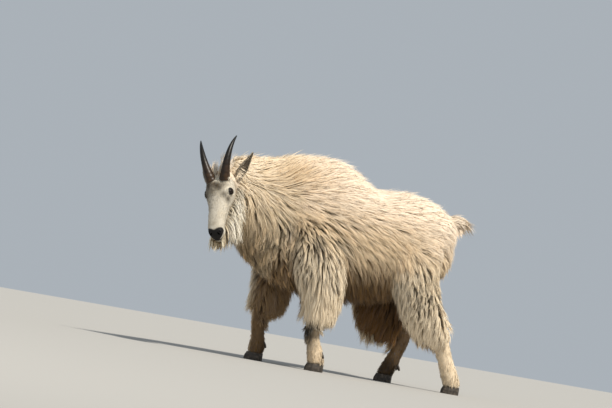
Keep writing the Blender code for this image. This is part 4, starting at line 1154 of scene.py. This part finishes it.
def tufts(name, roots, owner, guides, guide_ups, lengths, widths, clump, colours, marks, draw,
          wave, profile, lengthy=1.0, mottle=0.0, gap=0.80):
    """One mesh of tufts: each follows its guide, keeps its own root and runs to a point."""
    count = len(roots)
    rings = len(profile)
    tip = rings * 3
    each = tip + 1
    centres, normals, side, out = tuft_lines(
        roots, owner, guides, guide_ups, lengths, clump, lengthy, wave, rings, draw)

    # Points, and two sets of shading normals: the upper faces turn with the coat's surface, the under
    # faces away from it.
    half = (np.array(profile)[None, :] * widths[:, None] * 0.5)[:, :, None]
    lean = (0.22 + 0.36 * clump)[:, None, None]
    points = np.zeros((count, each, 3))
    facing = np.zeros((count, 2 * each, 3))
    body_up, body_side, body_out = normals[:, :rings], side[:, :rings], out[:, :rings]
    for corner, (aside, ahead, shade) in enumerate(SECTION):
        points[:, corner:tip:3] = centres[:, :rings] + body_side * half * aside + body_out * half * ahead
        facing[:, corner:tip:3] = body_up * 0.55 + body_out * shade + body_side * lean * aside
        facing[:, each + corner:each + tip:3] = body_side * 0.4 * aside - body_out
    points[:, tip] = centres[:, rings]
    facing[:, tip] = normals[:, rings] * 0.6 + out[:, rings - 1] * 0.3
    facing[:, each + tip] = -out[:, rings - 1]

    faces = tuft_faces(rings)
    corners = (faces[None, :, :] + (np.arange(count) * each)[:, None, None]).reshape(-1)
    triangles = len(faces) * count
    mesh = bpy.data.meshes.new(name)
    mesh.vertices.add(count * each)
    mesh.vertices.foreach_set("co", (points + np.array(SHIFT)).astype(np.float32).ravel())
    mesh.loops.add(triangles * 3)
    mesh.loops.foreach_set("vertex_index", corners.astype(np.int32))
    mesh.polygons.add(triangles)
    mesh.polygons.foreach_set("loop_start", np.arange(0, triangles * 3, 3, dtype=np.int32))
    mesh.polygons.foreach_set("use_smooth", np.ones(triangles, bool))
    mesh.update(calc_edges=True)

    # The two faces between the lower corners take the second set. The long edges of those corners are sharp.
    under = np.array((0, 0, 0, 0, 1, 1) * (rings - 1) + (0, 0, 1))[:, None] * each
    store(mesh, "custom_normal", "FLOAT_VECTOR", directed(facing)[:, (faces + under).reshape(-1)], "CORNER")
    ends = np.zeros(len(mesh.edges) * 2, np.int32)
    mesh.edges.foreach_get("vertices", ends)
    ends = ends.reshape(-1, 2) % each
    column = np.where(ends == tip, -1, ends % 3)
    lengthwise = (column[:, 0] == column[:, 1]) | (ends == tip).any(axis=1)
    store(mesh, "sharp_edge", "BOOLEAN", lengthwise & (column != 1).all(axis=1), "EDGE")

    # The colour: each lock and each tuft a little lighter or darker, the roots of locks in shade.
    steps = np.tile(np.append(np.repeat(np.linspace(0.0, 1.0, rings + 1)[:rings], 3), 1.0), (count, 1))
    turns = np.tile(np.append(np.tile((0.0, 0.5, 1.0), rings), 0.5), (count, 1))
    matted = np.clip((clump - 0.55) / 0.30, 0.0, 1.0) * (lengthy == 1.0)
    lock_tint = draw.normal(0.0, 1.0, len(guides))[owner] * (0.02 + 0.12 * clump + 0.34 * matted)
    tint = np.exp(draw.normal(0.0, 1.0, count) * (0.035 + mottle + 0.06 * clump) + lock_tint)[:, None, None]
    warm = draw.normal(0.0, 1.0, count)[:, None] * np.array((0.0, -0.014, -0.034))
    tone = (colours[:, None, :] + warm[:, None, :] * 0.6) * tint
    depths = (gap * clump ** 2)[:, None, None] * (1.0 - steps[:, :, None]) ** 1.3
    tone = tone / np.maximum(tone.max(axis=2, keepdims=True), 1.0) * (1.0 - depths)
    paint(mesh, np.broadcast_to(tone, (count, each, 3)))
    # For the hair's shader: the share of the tuft's length, the place across it, and a number of its own.
    store(mesh, "along", "FLOAT", steps)
    store(mesh, "across", "FLOAT", turns)
    store(mesh, "pick", "FLOAT", np.repeat(draw.random(count), each))

    patch = np.stack((turns - 0.5, steps - 0.5), axis=2) * UV_PATCH
    place = (marks[:, None, :] + patch).reshape(-1, 2)
    sheet = mesh.uv_layers.new(name="OFBake")
    sheet.data.foreach_set("uv", place[corners].astype(np.float32).ravel())
    return placed(name, mesh)


# Materials

WHITE = (1.0, 1.0, 1.0)


def plug(tree, value, entry):
    """Links an output to an input, or sets the input to a fixed value."""
    if isinstance(value, bpy.types.NodeSocket):
        tree.links.new(value, entry)
    else:
        entry.default_value = value


def node(tree, kind, **inputs):
    """One shader node, to the left of those before it, with some of its inputs set or linked."""
    made = tree.nodes.new("ShaderNode" + kind)
    made.location = (-200 * len(tree.nodes), 0)
    for key, value in inputs.items():
        plug(tree, value, made.inputs[key])
    return made


def new_material(name, roughness, specular=0.5):
    """A material with its node tree and shader."""
    material = bpy.data.materials.new(name)
    material.use_nodes = True
    tree = material.node_tree
    shader = tree.nodes["Principled BSDF"]
    shader.inputs["Roughness"].default_value = roughness
    shader.inputs["Specular IOR Level"].default_value = specular
    return material, tree, shader


def attribute(tree, name, output="Fac"):
    """A named value of the mesh."""
    reader = node(tree, "Attribute")
    reader.attribute_name = name
    return reader.outputs[output]


def noise(tree, vector, scale, detail):
    """Noise over a place, or over the object's own coordinates."""
    if vector is None:
        vector = node(tree, "TexCoord").outputs["Object"]
    return node(tree, "TexNoise", Vector=vector, Scale=scale, Detail=detail).outputs["Fac"]


def scaled(tree, value, factor):
    """A value times a fixed factor."""
    made = node(tree, "Math")
    made.operation = "MULTIPLY"
    plug(tree, value, made.inputs[0])
    plug(tree, factor, made.inputs[1])
    return made.outputs[0]


def blend(tree, first, second, share=1.0, kind="MULTIPLY"):
    """Two colours multiplied or mixed."""
    mix = node(tree, "Mix")
    mix.data_type = "RGBA"
    mix.blend_type = kind
    for index, value in ((0, share), (6, first), (7, second)):
        plug(tree, value, mix.inputs[index])
    return mix.outputs[2]


def ramp(tree, value, stops):
    """A colour ramp over a value."""
    made = node(tree, "ValToRGB", Fac=value)
    steps = made.color_ramp.elements
    while len(steps) < len(stops):
        steps.new(0.5)
    for step, (position, colour) in zip(steps, stops):
        step.position = position
        step.color = (*colour, 1.0)
    return made.outputs[0]


def finish(tree, shader, colour, height=None, strength=0.0, distance=0.0010):
    """Gives a shader its colour, and fine relief where there is a height."""
    plug(tree, colour, shader.inputs["Base Color"])
    if height is not None:
        bump = node(tree, "Bump", Strength=strength, Distance=distance, Height=height)
        plug(tree, bump.outputs[0], shader.inputs["Normal"])


def hair_material(name, root=0.44, streak=0.22):
    """Hair: the coat's colour with painted shade towards the root, streaked along the tuft, with a soft
    sheen.
    """
    material, tree, shader = new_material(name, 0.62, 0.25)
    shader.inputs["Sheen Weight"].default_value = 0.25
    shader.inputs["Sheen Roughness"].default_value = 0.45
    shader.inputs["Sheen Tint"].default_value = (1.0, 0.93, 0.80, 1.0)
    coat = attribute(tree, "coat", "Color")
    along = attribute(tree, "along")
    dark = ramp(tree, along, ((0.0, (root, root * 0.88, root * 0.72)), (0.30, (0.84, 0.81, 0.75)),
                              (0.60, WHITE), (1.0, (1.0, 0.985, 0.95))))
    wide = scaled(tree, attribute(tree, "across"), 5.0)
    own = scaled(tree, attribute(tree, "pick"), 90.0)
    place = node(tree, "CombineXYZ", X=wide, Y=along, Z=own)
    low = 1.0 - streak
    streaks = ramp(tree, noise(tree, place.outputs[0], 1.6, 2.0),
                   ((0.30, (low, low * 0.96, low * 0.88)), (0.62, WHITE)))
    colour = blend(tree, coat, dark)
    finish(tree, shader, blend(tree, colour, streaks))
    return material


def skin_material():
    """The skin: the coat's markings and painted shade, black on the bare nose and lips, with fine short fur
    as bump.
    """
    material, tree, shader = new_material("skin", 0.70, 0.30)
    fine = noise(tree, None, 420.0, 3.0)
    broad = noise(tree, None, 26.0, 4.0)
    speck = ramp(tree, fine, ((0.30, (0.74, 0.70, 0.62)), (0.60, WHITE)))
    cloud = ramp(tree, broad, ((0.30, (0.86, 0.83, 0.77)), (0.65, WHITE)))
    colour = blend(tree, attribute(tree, "coat", "Color"), speck)
    colour = blend(tree, colour, cloud)
    nose = attribute(tree, "nose")
    colour = blend(tree, colour, (0.005, 0.004, 0.004, 1.0), nose, "MIX")
    finish(tree, shader, colour, fine, 0.35, 0.0012)
    return material


def horn_material():
    """Black-brown horn, browner at its base, with fine grain."""
    material, tree, shader = new_material("horn", 0.40, 0.32)
    grain = noise(tree, None, 60.0, 6.0)
    base = ramp(tree, attribute(tree, "along"),
                ((0.0, (0.045, 0.024, 0.010)), (0.20, (0.030, 0.016, 0.008)),
                 (0.45, (0.008, 0.006, 0.004)), (1.0, (0.003, 0.0025, 0.002))))
    streaks = ramp(tree, grain, ((0.35, (0.45, 0.42, 0.40)), (0.65, (1.35, 1.25, 1.1))))
    finish(tree, shader, blend(tree, base, streaks), grain, 0.30)
    return material


def hoof_material():
    """Dull dark hoof horn with paler scuffs."""
    material, tree, shader = new_material("hoof", 0.55, 0.4)
    grain = noise(tree, None, 90.0, 5.0)
    colour = ramp(tree, grain, ((0.30, (0.022, 0.018, 0.014)), (0.55, (0.055, 0.044, 0.034)),
                                (0.75, (0.14, 0.11, 0.08))))
    finish(tree, shader, colour, grain, 0.4)
    return material


def eye_material():
    """A wet dark-brown eye with a wide, level pupil."""
    material, tree, shader = new_material("eye", 0.10, 0.30)
    pupil = attribute(tree, "pupil")
    finish(tree, shader, ramp(tree, pupil, (
        (0.0, (0.004, 0.003, 0.003)), (0.42, (0.005, 0.004, 0.003)), (0.52, (0.016, 0.008, 0.004)),
        (0.90, (0.010, 0.005, 0.003)), (1.0, (0.006, 0.004, 0.003)))))
    return material


# Ears, horns and eyes

def ear(name, side):
    """An ear: a lance-shaped leaf rolled into a cup, with a thin soft rim."""
    way, opening = ear_way(side)
    across = way.cross(opening)
    root = Vector((EAR_BASE[0], side * EAR_BASE[1], EAR_BASE[2]))
    rings = []
    for s, half, deep in spread(EAR_SHAPE, 4):
        middle = root + way * (s * EAR_LENGTH) - opening * (0.012 * s * s)
        wall = 0.0020 + 0.0012 * (1.0 - s)
        outer = []
        inner = []
        for index in range(21):
            angle = math.radians(-105.0 + 10.5 * index)
            thin = wall * (1.0 - 0.55 * abs(index - 10) / 10.0)
            outer.append(middle + across * (half * math.sin(angle)) - opening * (deep * math.cos(angle)))
            inner.append(
                middle + across * (max(half - thin, 0.0010) * math.sin(angle))
                - opening * (max(deep - thin, 0.0006) * math.cos(angle)) + opening * 0.0005
            )
        rings.append([on_head(*point) for point in outer + inner[::-1]])
    return loft(name, rings)


def horn(name, side):
    """A horn that curves back, ringed over its lower half, with how far along it each point lies."""
    parts = 90
    sides = 28
    out = math.radians(HORN_SPREAD)
    here = Vector((HORN_BASE[0], side * HORN_BASE[1], HORN_BASE[2]))
    rings = []
    shares = []
    for index in range(parts):
        s = index / (parts - 1)
        lean = math.radians(HORN_LEAN - HORN_CURVE * s)
        way = Vector((-math.cos(lean) * math.cos(out), side * math.sin(out), math.sin(lean) * math.cos(out)))
        rib = 0.020 * math.sin(s * 84.0) * max(0.0, 1.0 - 1.5 * s)
        rib += 0.012 * math.sin(s * 210.0) * max(0.0, 1.0 - 1.2 * s)
        radius = HORN_RADIUS * (1.0 - s) ** 0.80 + 0.0016 + 0.0030 * max(0.0, 1.0 - 4.0 * s)
        radius *= 1.0 + rib
        lead = unit(ACROSS - way * way.y)
        ring = oval(here, lead, way.cross(lead), radius * 0.92, radius * 1.06, radius * 1.06, sides)
        rings.append([on_head(*point) for point in ring])
        shares += [s] * sides
        here = here + way * (HORN_LENGTH / (parts - 1))
    body = loft(name, rings)
    store(body.data, "along", "FLOAT", shares)
    return body


def eyeball(name, side):
    """An eye with a wide, level pupil."""
    out, along, across = eye_axes(side)
    centre = eye_place(side)
    body = ball(name, centre, (along, across, out), (EYE_RADIUS,) * 3, 40, 56)
    level = unit(UP.cross(out))
    tall = out.cross(level)
    values = []
    for vertex in body.data.vertices:
        reach = vertex.co - centre
        a = abs(reach.dot(level))
        b = abs(reach.dot(tall))
        edge = ((a / 0.0062) ** 4 + (b / 0.0030) ** 4) ** 0.25
        if reach.dot(out) < 0.0:
            values.append(1.0)
        elif edge < 1.0:
            values.append(0.40 * edge)
        else:
            values.append(0.50 + 0.5 * min(1.0, math.hypot(a, b) / EYE_RADIUS) ** 3)
    store(body.data, "pupil", "FLOAT", values)
    return body


def dress(body, material, nodes=()):
    """Gives a body its material and ties it to the animal."""
    body.data.materials.clear()
    body.data.materials.append(material)
    body.data.shade_smooth()
    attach(body, "root")
    if nodes:
        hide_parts(*nodes)


def settle(body, material, nodes):
    """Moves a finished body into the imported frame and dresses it."""
    body.data.transform(Matrix.Translation(SHIFT))
    dress(body, material, nodes)


# The stage

def add_light(name, kind, middle, offset, energy, colour, size):
    """A lamp that points at the middle."""
    lamp = bpy.data.lights.new(name, kind)
    lamp.energy = energy
    lamp.color = colour
    if kind == "SUN":
        lamp.angle = size
    else:
        lamp.size = size
    body = placed(name, lamp)
    body.location = middle + Vector(offset)
    body.rotation_mode = "QUATERNION"
    body.rotation_quaternion = (-Vector(offset)).to_track_quat("-Z", "Y")


def set_stage(middle):
    """Floor, world and lights."""
    corners = [(x * FLOOR_REACH, y * FLOOR_REACH, 0) for x, y in ((-1, -1), (1, -1), (1, 1), (-1, 1))]
    floor = mesh_object("floor", corners, [(0, 1, 2, 3)])
    material, _, shader = new_material("floor", 0.9, 0.1)
    shader.inputs["Base Color"].default_value = (0.42, 0.41, 0.39, 1.0)
    floor.data.materials.append(material)
    world = bpy.data.worlds.new("world")
    bpy.context.scene.world = world
    world.use_nodes = True
    ground = world.node_tree.nodes["Background"]
    ground.inputs[0].default_value = (0.72, 0.79, 0.86, 1.0)
    ground.inputs[1].default_value = SKY_STRENGTH
    bpy.context.scene.view_settings.view_transform = "Standard"
    add_light("key", "SUN", middle, *KEY_LIGHT)
    add_light("fill", "AREA", middle, *FILL_LIGHT)


def set_camera():
    """The camera at the photo's place, rolled like it."""
    turn, rise, roll = (math.radians(angle) for angle in (CAMERA_TURN, CAMERA_RISE, CAMERA_ROLL))
    back = Vector((math.sin(turn) * math.cos(rise), -math.cos(turn) * math.cos(rise), math.sin(rise)))
    level = Vector((math.cos(turn), math.sin(turn), 0.0))
    over = back.cross(level)
    right = level * math.cos(roll) + over * math.sin(roll)
    up = over * math.cos(roll) - level * math.sin(roll)
    camera = bpy.data.cameras.new("camera")
    camera.lens = CAMERA_LENS
    camera.sensor_width = SENSOR_WIDTH
    camera.clip_end = 60.0
    body = placed("camera", camera)
    frame = Matrix((right, up, back)).transposed().to_4x4()
    frame.translation = CAMERA_AIM + back * CAMERA_DISTANCE + SHIFT
    body.matrix_world = frame
    bpy.context.scene.camera = body


# The coat

def bare_faces(centroids, patch):
    """Which faces of the skin grow no hair: nose, lips, lids and the roots of the horns."""
    local = in_head(centroids)
    bare = noses(centroids) > 0.3
    for side in (1, -1):
        out = np.array(eye_axes(side)[0])
        reach = centroids - np.array(eye_place(side))
        bare |= np.linalg.norm(reach, axis=1) < 0.0185
        bare |= np.linalg.norm(reach - out * 0.006, axis=1) < 0.0165
        root = np.array((HORN_BASE[0], side * HORN_BASE[1], HORN_BASE[2] + 0.012))
        bare |= np.linalg.norm(local - root, axis=1) < 0.017
    lips = (local[:, 0] > 0.183) & (np.abs(local[:, 1]) < 0.030) & (local[:, 2] > -0.064)
    return bare | (lips & (patch == 0))


def grow_guides(points, triangles, patch, bare, tree, draw):
    """Guide hairs over the whole skin, with their roots."""
    head = at(patch, "head")
    shanks = at(patch, "shank")
    found = []
    others = ~head & ~shanks
    for chosen, (count, space) in ((head, HEAD_GUIDES), (shanks, SHANK_GUIDES), (others, BODY_GUIDES)):
        places, normals = sample(points, triangles[chosen & ~bare], count, draw)
        kept = thin_out(places, space)
        found.append((places[kept], normals[kept]))
    roots, normals = (np.vstack(parts) for parts in zip(*found))
    region, _, turn, depth = locate(roots)
    lengths, rises = hair_sizes(roots, region, depth, turn)
    lengths = lengths * draw.uniform(0.85, 1.15, len(lengths))
    guides, ups = walk(roots, normals, region, lengths, rises, tree, draw)
    return roots, guides, ups


def grow_coat(name, chosen, count, width, profile, material):
    """One piece of the coat, on the chosen faces of the skin."""
    places = sample(skin_points, skin_triangles[chosen & ~bare], count, draw)[0]
    owner = nearest(places, guide_roots)
    region, share, turn, _ = locate(places)
    middle = guides[owner, 4] + places - guides[owner, 0]
    tones = coat_colour(middle, guide_ups[owner, 4], region)
    short = name in ("coat_head", "coat_shanks")
    clump = clumping(places, region) * draw.uniform(0.75, 1.1, count)
    clump = np.clip(clump, 0.0, 0.92) * (0.35 if short else 1.0)
    widths = draw.uniform(0.65, 1.30, count) * width
    lengths = draw.uniform(0.80, 1.10, count)
    wave = 0.0004 if short else 0.0014 + 0.0075 * matting(places)
    body = tufts(name, places, owner, guides, guide_ups, lengths, widths, clump, tones,
                 unwrapped(region, share, turn), draw, wave, profile, 0.06 if short else 1.0,
                 0.16 if short else 0.0)
    dress(body, material)


def grow_beard():
    """The beard hangs from the chin and the lower jaw, and longer hair stands out from the cheeks."""
    left_way = np.array(LEFT)
    f, l, t = in_head(centroids).T
    wide = np.abs(l)
    edge = -0.058 - 0.28 * np.clip(0.185 - f, 0.0, 0.20)
    bearded = (f > 0.000) & (f < 0.205) & (t < edge)
    cheeks = (wide > 0.040) & (f > -0.070) & (f < 0.060) & (t < -0.045)
    jaws = (wide > 0.018) & (f > 0.030) & (f < 0.150) & (t < -0.050)
    chosen = skin_triangles[at(patch, "head") & (bearded | cheeks | jaws)]
    places, normals = sample(skin_points, chosen, BEARD_TUFTS, draw)
    tied = thin_out(places, BEARD_SPACING)
    count = len(tied)
    here = places[tied]
    f, l, t = in_head(here).T
    side = (np.sign(l) * ease(np.abs(l), 0.030, 0.045))[:, None]
    cheek = ease(0.085 - f, 0.0, 0.060) * ease(t, -0.150, -0.100)
    far = (l < -0.020) & (f < 0.120)
    jaw = ease(0.165 - f, 0.0, 0.05) * ease(l, -0.010, 0.020)
    chin = on_head(0.180, 0.0, -0.085)
    lowest = 0.462 + 0.17 * np.clip(here[:, 0] - chin.x, 0.0, 0.2) + draw.uniform(-0.014, 0.030, count)
    lengths = np.maximum(here[:, 2] - lowest, 0.030)
    lengths = lengths * (1.0 - cheek) + draw.uniform(0.048, 0.066, count) * cheek
    nearside = ease(l, 0.004, 0.022) * ease(0.160 - f, 0.0, 0.04) * (1.0 - cheek)
    lengths = lengths * (1.0 - nearside * draw.uniform(0.0, 0.45, count))
    outward = (here - np.array(on_head(0.120, 0.0, -0.095))) * (1.0, 1.0, 0.0)
    outward += normals[tied] * (0.02, 0.02, 0.0) + (-0.012, -0.020, 0.045) + left_way * side * 0.10
    outward = directed(outward)
    way = outward * 0.30 + (0.10, 0.0, -1.0) + draw.normal(0.0, 0.10, (count, 3))
    way += (left_way * side * 0.80 + (0.0, 0.0, 0.35)) * cheek[:, None]
    way += (left_way * 1.25 + (0.15, 0.0, 0.0)) * nearside[:, None]
    way[far] = np.array((0.95, 0.20, -0.75)) + draw.normal(0.0, 0.08, (far.sum(), 3))
    lengths[far] = draw.uniform(0.045, 0.065, far.sum())
    paths = []
    for _ in range(STEPS + 1):
        paths.append(here)
        way = directed(way + (0.0, 0.0, -0.25) + draw.normal(0.0, 0.06, (count, 3)))
        here = here + way * (lengths / STEPS)[:, None]
    paths = np.stack(paths, axis=1)
    ups = np.repeat(outward[:, None, :], STEPS + 1, axis=1)
    owner = nearest(places, places[tied])
    lock = draw.uniform(0.0, 1.0, count)
    pale = mixed(np.tile((0.94, 0.86, 0.68), (count, 1)), (0.84, 0.80, 0.71), np.maximum(cheek, nearside))
    tones = mixed(pale, TIP_BROWN, lock * (0.85 - 0.70 * np.maximum(cheek, jaw)))[owner]
    tight = draw.uniform(0.70, 0.90, len(places)) - 0.45 * np.maximum(cheek, 0.6 * nearside)[owner]
    region, share, turn, _ = locate(places)
    beard = tufts("coat_beard", places, owner, paths, ups, draw.uniform(0.70, 1.10, len(places)),
                  draw.uniform(0.0022, 0.0040, len(places)), tight, tones,
                  unwrapped(region, share, turn), draw, 0.0030, BEARD_TUFT, gap=0.25)
    dress(beard, BEARD_HAIR)


def ear_tones(inside, edge, within, back, rim):
    """Dark within the ear's cup and paler on its back, palest along its rim."""
    tones = np.where(inside[:, None], np.array(within), np.array(back))
    return mixed(tones, rim, edge)


def set_ear(word, side):
    """An ear's skin with its markings, and short fur on it."""
    flap = ear("ear_skin_" + word, side)
    points, normals, triangles = surface(flap)
    forward, opening = (np.array(on_head(*way) - on_head(0, 0, 0)) for way in ear_way(side))
    base = np.array(on_head(EAR_BASE[0], side * EAR_BASE[1], EAR_BASE[2]))
    rim = ease((points - base) @ opening, 0.000, 0.012)
    paint(flap.data, ear_tones(normals @ opening > 0.1, rim, (0.10, 0.08, 0.06), (0.60, 0.52, 0.41),
                               (0.76, 0.68, 0.55)))
    count = EAR_HAIRS
    places, fur_normals = sample(points, triangles, count, draw)
    ways = forward + draw.normal(0.0, 0.15, (count, 3))
    reach = (places - base) @ forward
    lengths = draw.uniform(0.006, 0.011, count) * (1.0 - 0.5 * ease(reach, 0.09, 0.16))
    paths, ups = straight(places, fur_normals, ways, lengths, 0.0012)
    rim = ease((places - base) @ opening, -0.004, 0.008)
    tones = ear_tones(fur_normals @ opening > 0.2, rim, (0.15, 0.12, 0.09), (0.62, 0.54, 0.43),
                      (0.80, 0.72, 0.58))
    marks = unwrapped(np.zeros(count, int), np.clip(reach / 0.16, 0.0, 1.0), draw.uniform(-3.1, 3.1, count))
    fur = tufts("coat_ear_" + word, places, np.arange(count), paths, ups, np.ones(count),
                draw.uniform(0.0012, 0.0020, count), np.ones(count), tones, marks, draw, 0.0, EAR_TUFT, 0.1)
    dress(fur, FACE_HAIR)
    settle(flap, SKIN, ("ear_" + word,))


# The scene

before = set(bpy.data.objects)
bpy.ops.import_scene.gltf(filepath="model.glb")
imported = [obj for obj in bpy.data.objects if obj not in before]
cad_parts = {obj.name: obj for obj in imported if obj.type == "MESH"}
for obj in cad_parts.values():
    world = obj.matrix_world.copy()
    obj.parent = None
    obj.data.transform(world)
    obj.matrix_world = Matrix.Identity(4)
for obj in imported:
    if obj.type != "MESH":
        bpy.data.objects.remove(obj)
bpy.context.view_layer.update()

eye_low, eye_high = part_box("eye_left")
SHIFT = (eye_low + eye_high) / 2.0 - eye_place(1)
draw = np.random.default_rng(SEED)

HAIR = hair_material("hair")
FACE_HAIR = hair_material("face_hair", 0.62, 0.22)
BEARD_HAIR = hair_material("beard_hair", 0.46, 0.36)
SKIN = skin_material()
HORN = horn_material()
HOOF = hoof_material()
EYE = eye_material()

skin = combine(body_skin(), [head_skin()], "UNION")
skin.name = "skin"
skin_points, skin_normals, skin_triangles = surface(skin)
skin_region, _, _, skin_depth = locate(skin_points)
tone = coat_colour(skin_points, skin_normals, skin_region)
# Painted shade on the skin under the coat, deeper where the coat is deeper and more matted.
shade_under_coat = 0.50 + 0.35 * clumping(skin_points, skin_region)
tone = tone * (1.0 - shade_under_coat * ease(skin_depth, 0.012, 0.030))[:, None]
paint(skin.data, np.clip(tone, 0.0, 1.0))
store(skin.data, "nose", "FLOAT", noses(skin_points))
tree = search_tree(skin_points, skin_triangles)

centroids = skin_points[skin_triangles].mean(axis=1)
patch = locate(centroids)[0]
bare = bare_faces(centroids, patch)
guide_roots, guides, guide_ups = grow_guides(skin_points, skin_triangles, patch, bare, tree, draw)

trunk = at(patch, "trunk")
left = centroids[:, 1] < 0.0
front = trunk & (centroids[:, 0] < SHOULDERS_END)
rear = trunk & (centroids[:, 0] >= BARREL_END)
middle = trunk & ~front & ~rear
for name, chosen, count, width in (
    ("head", at(patch, "head"), 7200, 0.0022),
    ("neck", at(patch, "neck"), 11500, 0.0034),
    ("shoulders_left", front & left, 8000, 0.0035),
    ("shoulders_right", front & ~left, 7200, 0.0037),
    ("barrel_left", middle & left, 9000, 0.0035),
    ("barrel_right", middle & ~left, 8000, 0.0037),
    ("rump_left", rear & left, 7600, 0.0035),
    ("rump_right", rear & ~left, 7000, 0.0036),
    ("foreleg_left", at(patch, "foreleg_left"), 5600, 0.0034),
    ("foreleg_right", at(patch, "foreleg_right"), 5400, 0.0034),
    ("hindleg_left", at(patch, "hindleg_left"), 6000, 0.0034),
    ("hindleg_right", at(patch, "hindleg_right"), 5600, 0.0034),
    ("shanks", at(patch, "shank"), 6000, 0.0026),
    ("tail", at(patch, "tail"), 1000, 0.0032),
):
    grow_coat("coat_" + name, chosen, count, width, SHORT_TUFT if name == "shanks" else LONG_TUFT,
              FACE_HAIR if name in ("head", "shanks") else HAIR)
grow_beard()
for word, side in (("left", 1), ("right", -1)):
    set_ear(word, side)
    settle(horn("horn_fine_" + word, side), HORN, ("horn_" + word,))
    settle(eyeball("eye_fine_" + word, side), EYE, ("eye_" + word,))

for name, node_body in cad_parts.items():
    if name.startswith(("hoof", "dewclaw")):
        node_body.data.materials.clear()
        node_body.data.materials.append(HOOF)

settle(skin, SKIN, ("head", "neck", "shoulders", "barrel", "rump", "tail",
                            "foreleg_left", "foreleg_right", "hindleg_left", "hindleg_right",
                            "shank_front_left", "shank_front_right", "shank_hind_left", "shank_hind_right"))

set_stage(Vector((0.0, 0.0, 0.5)))
set_camera()
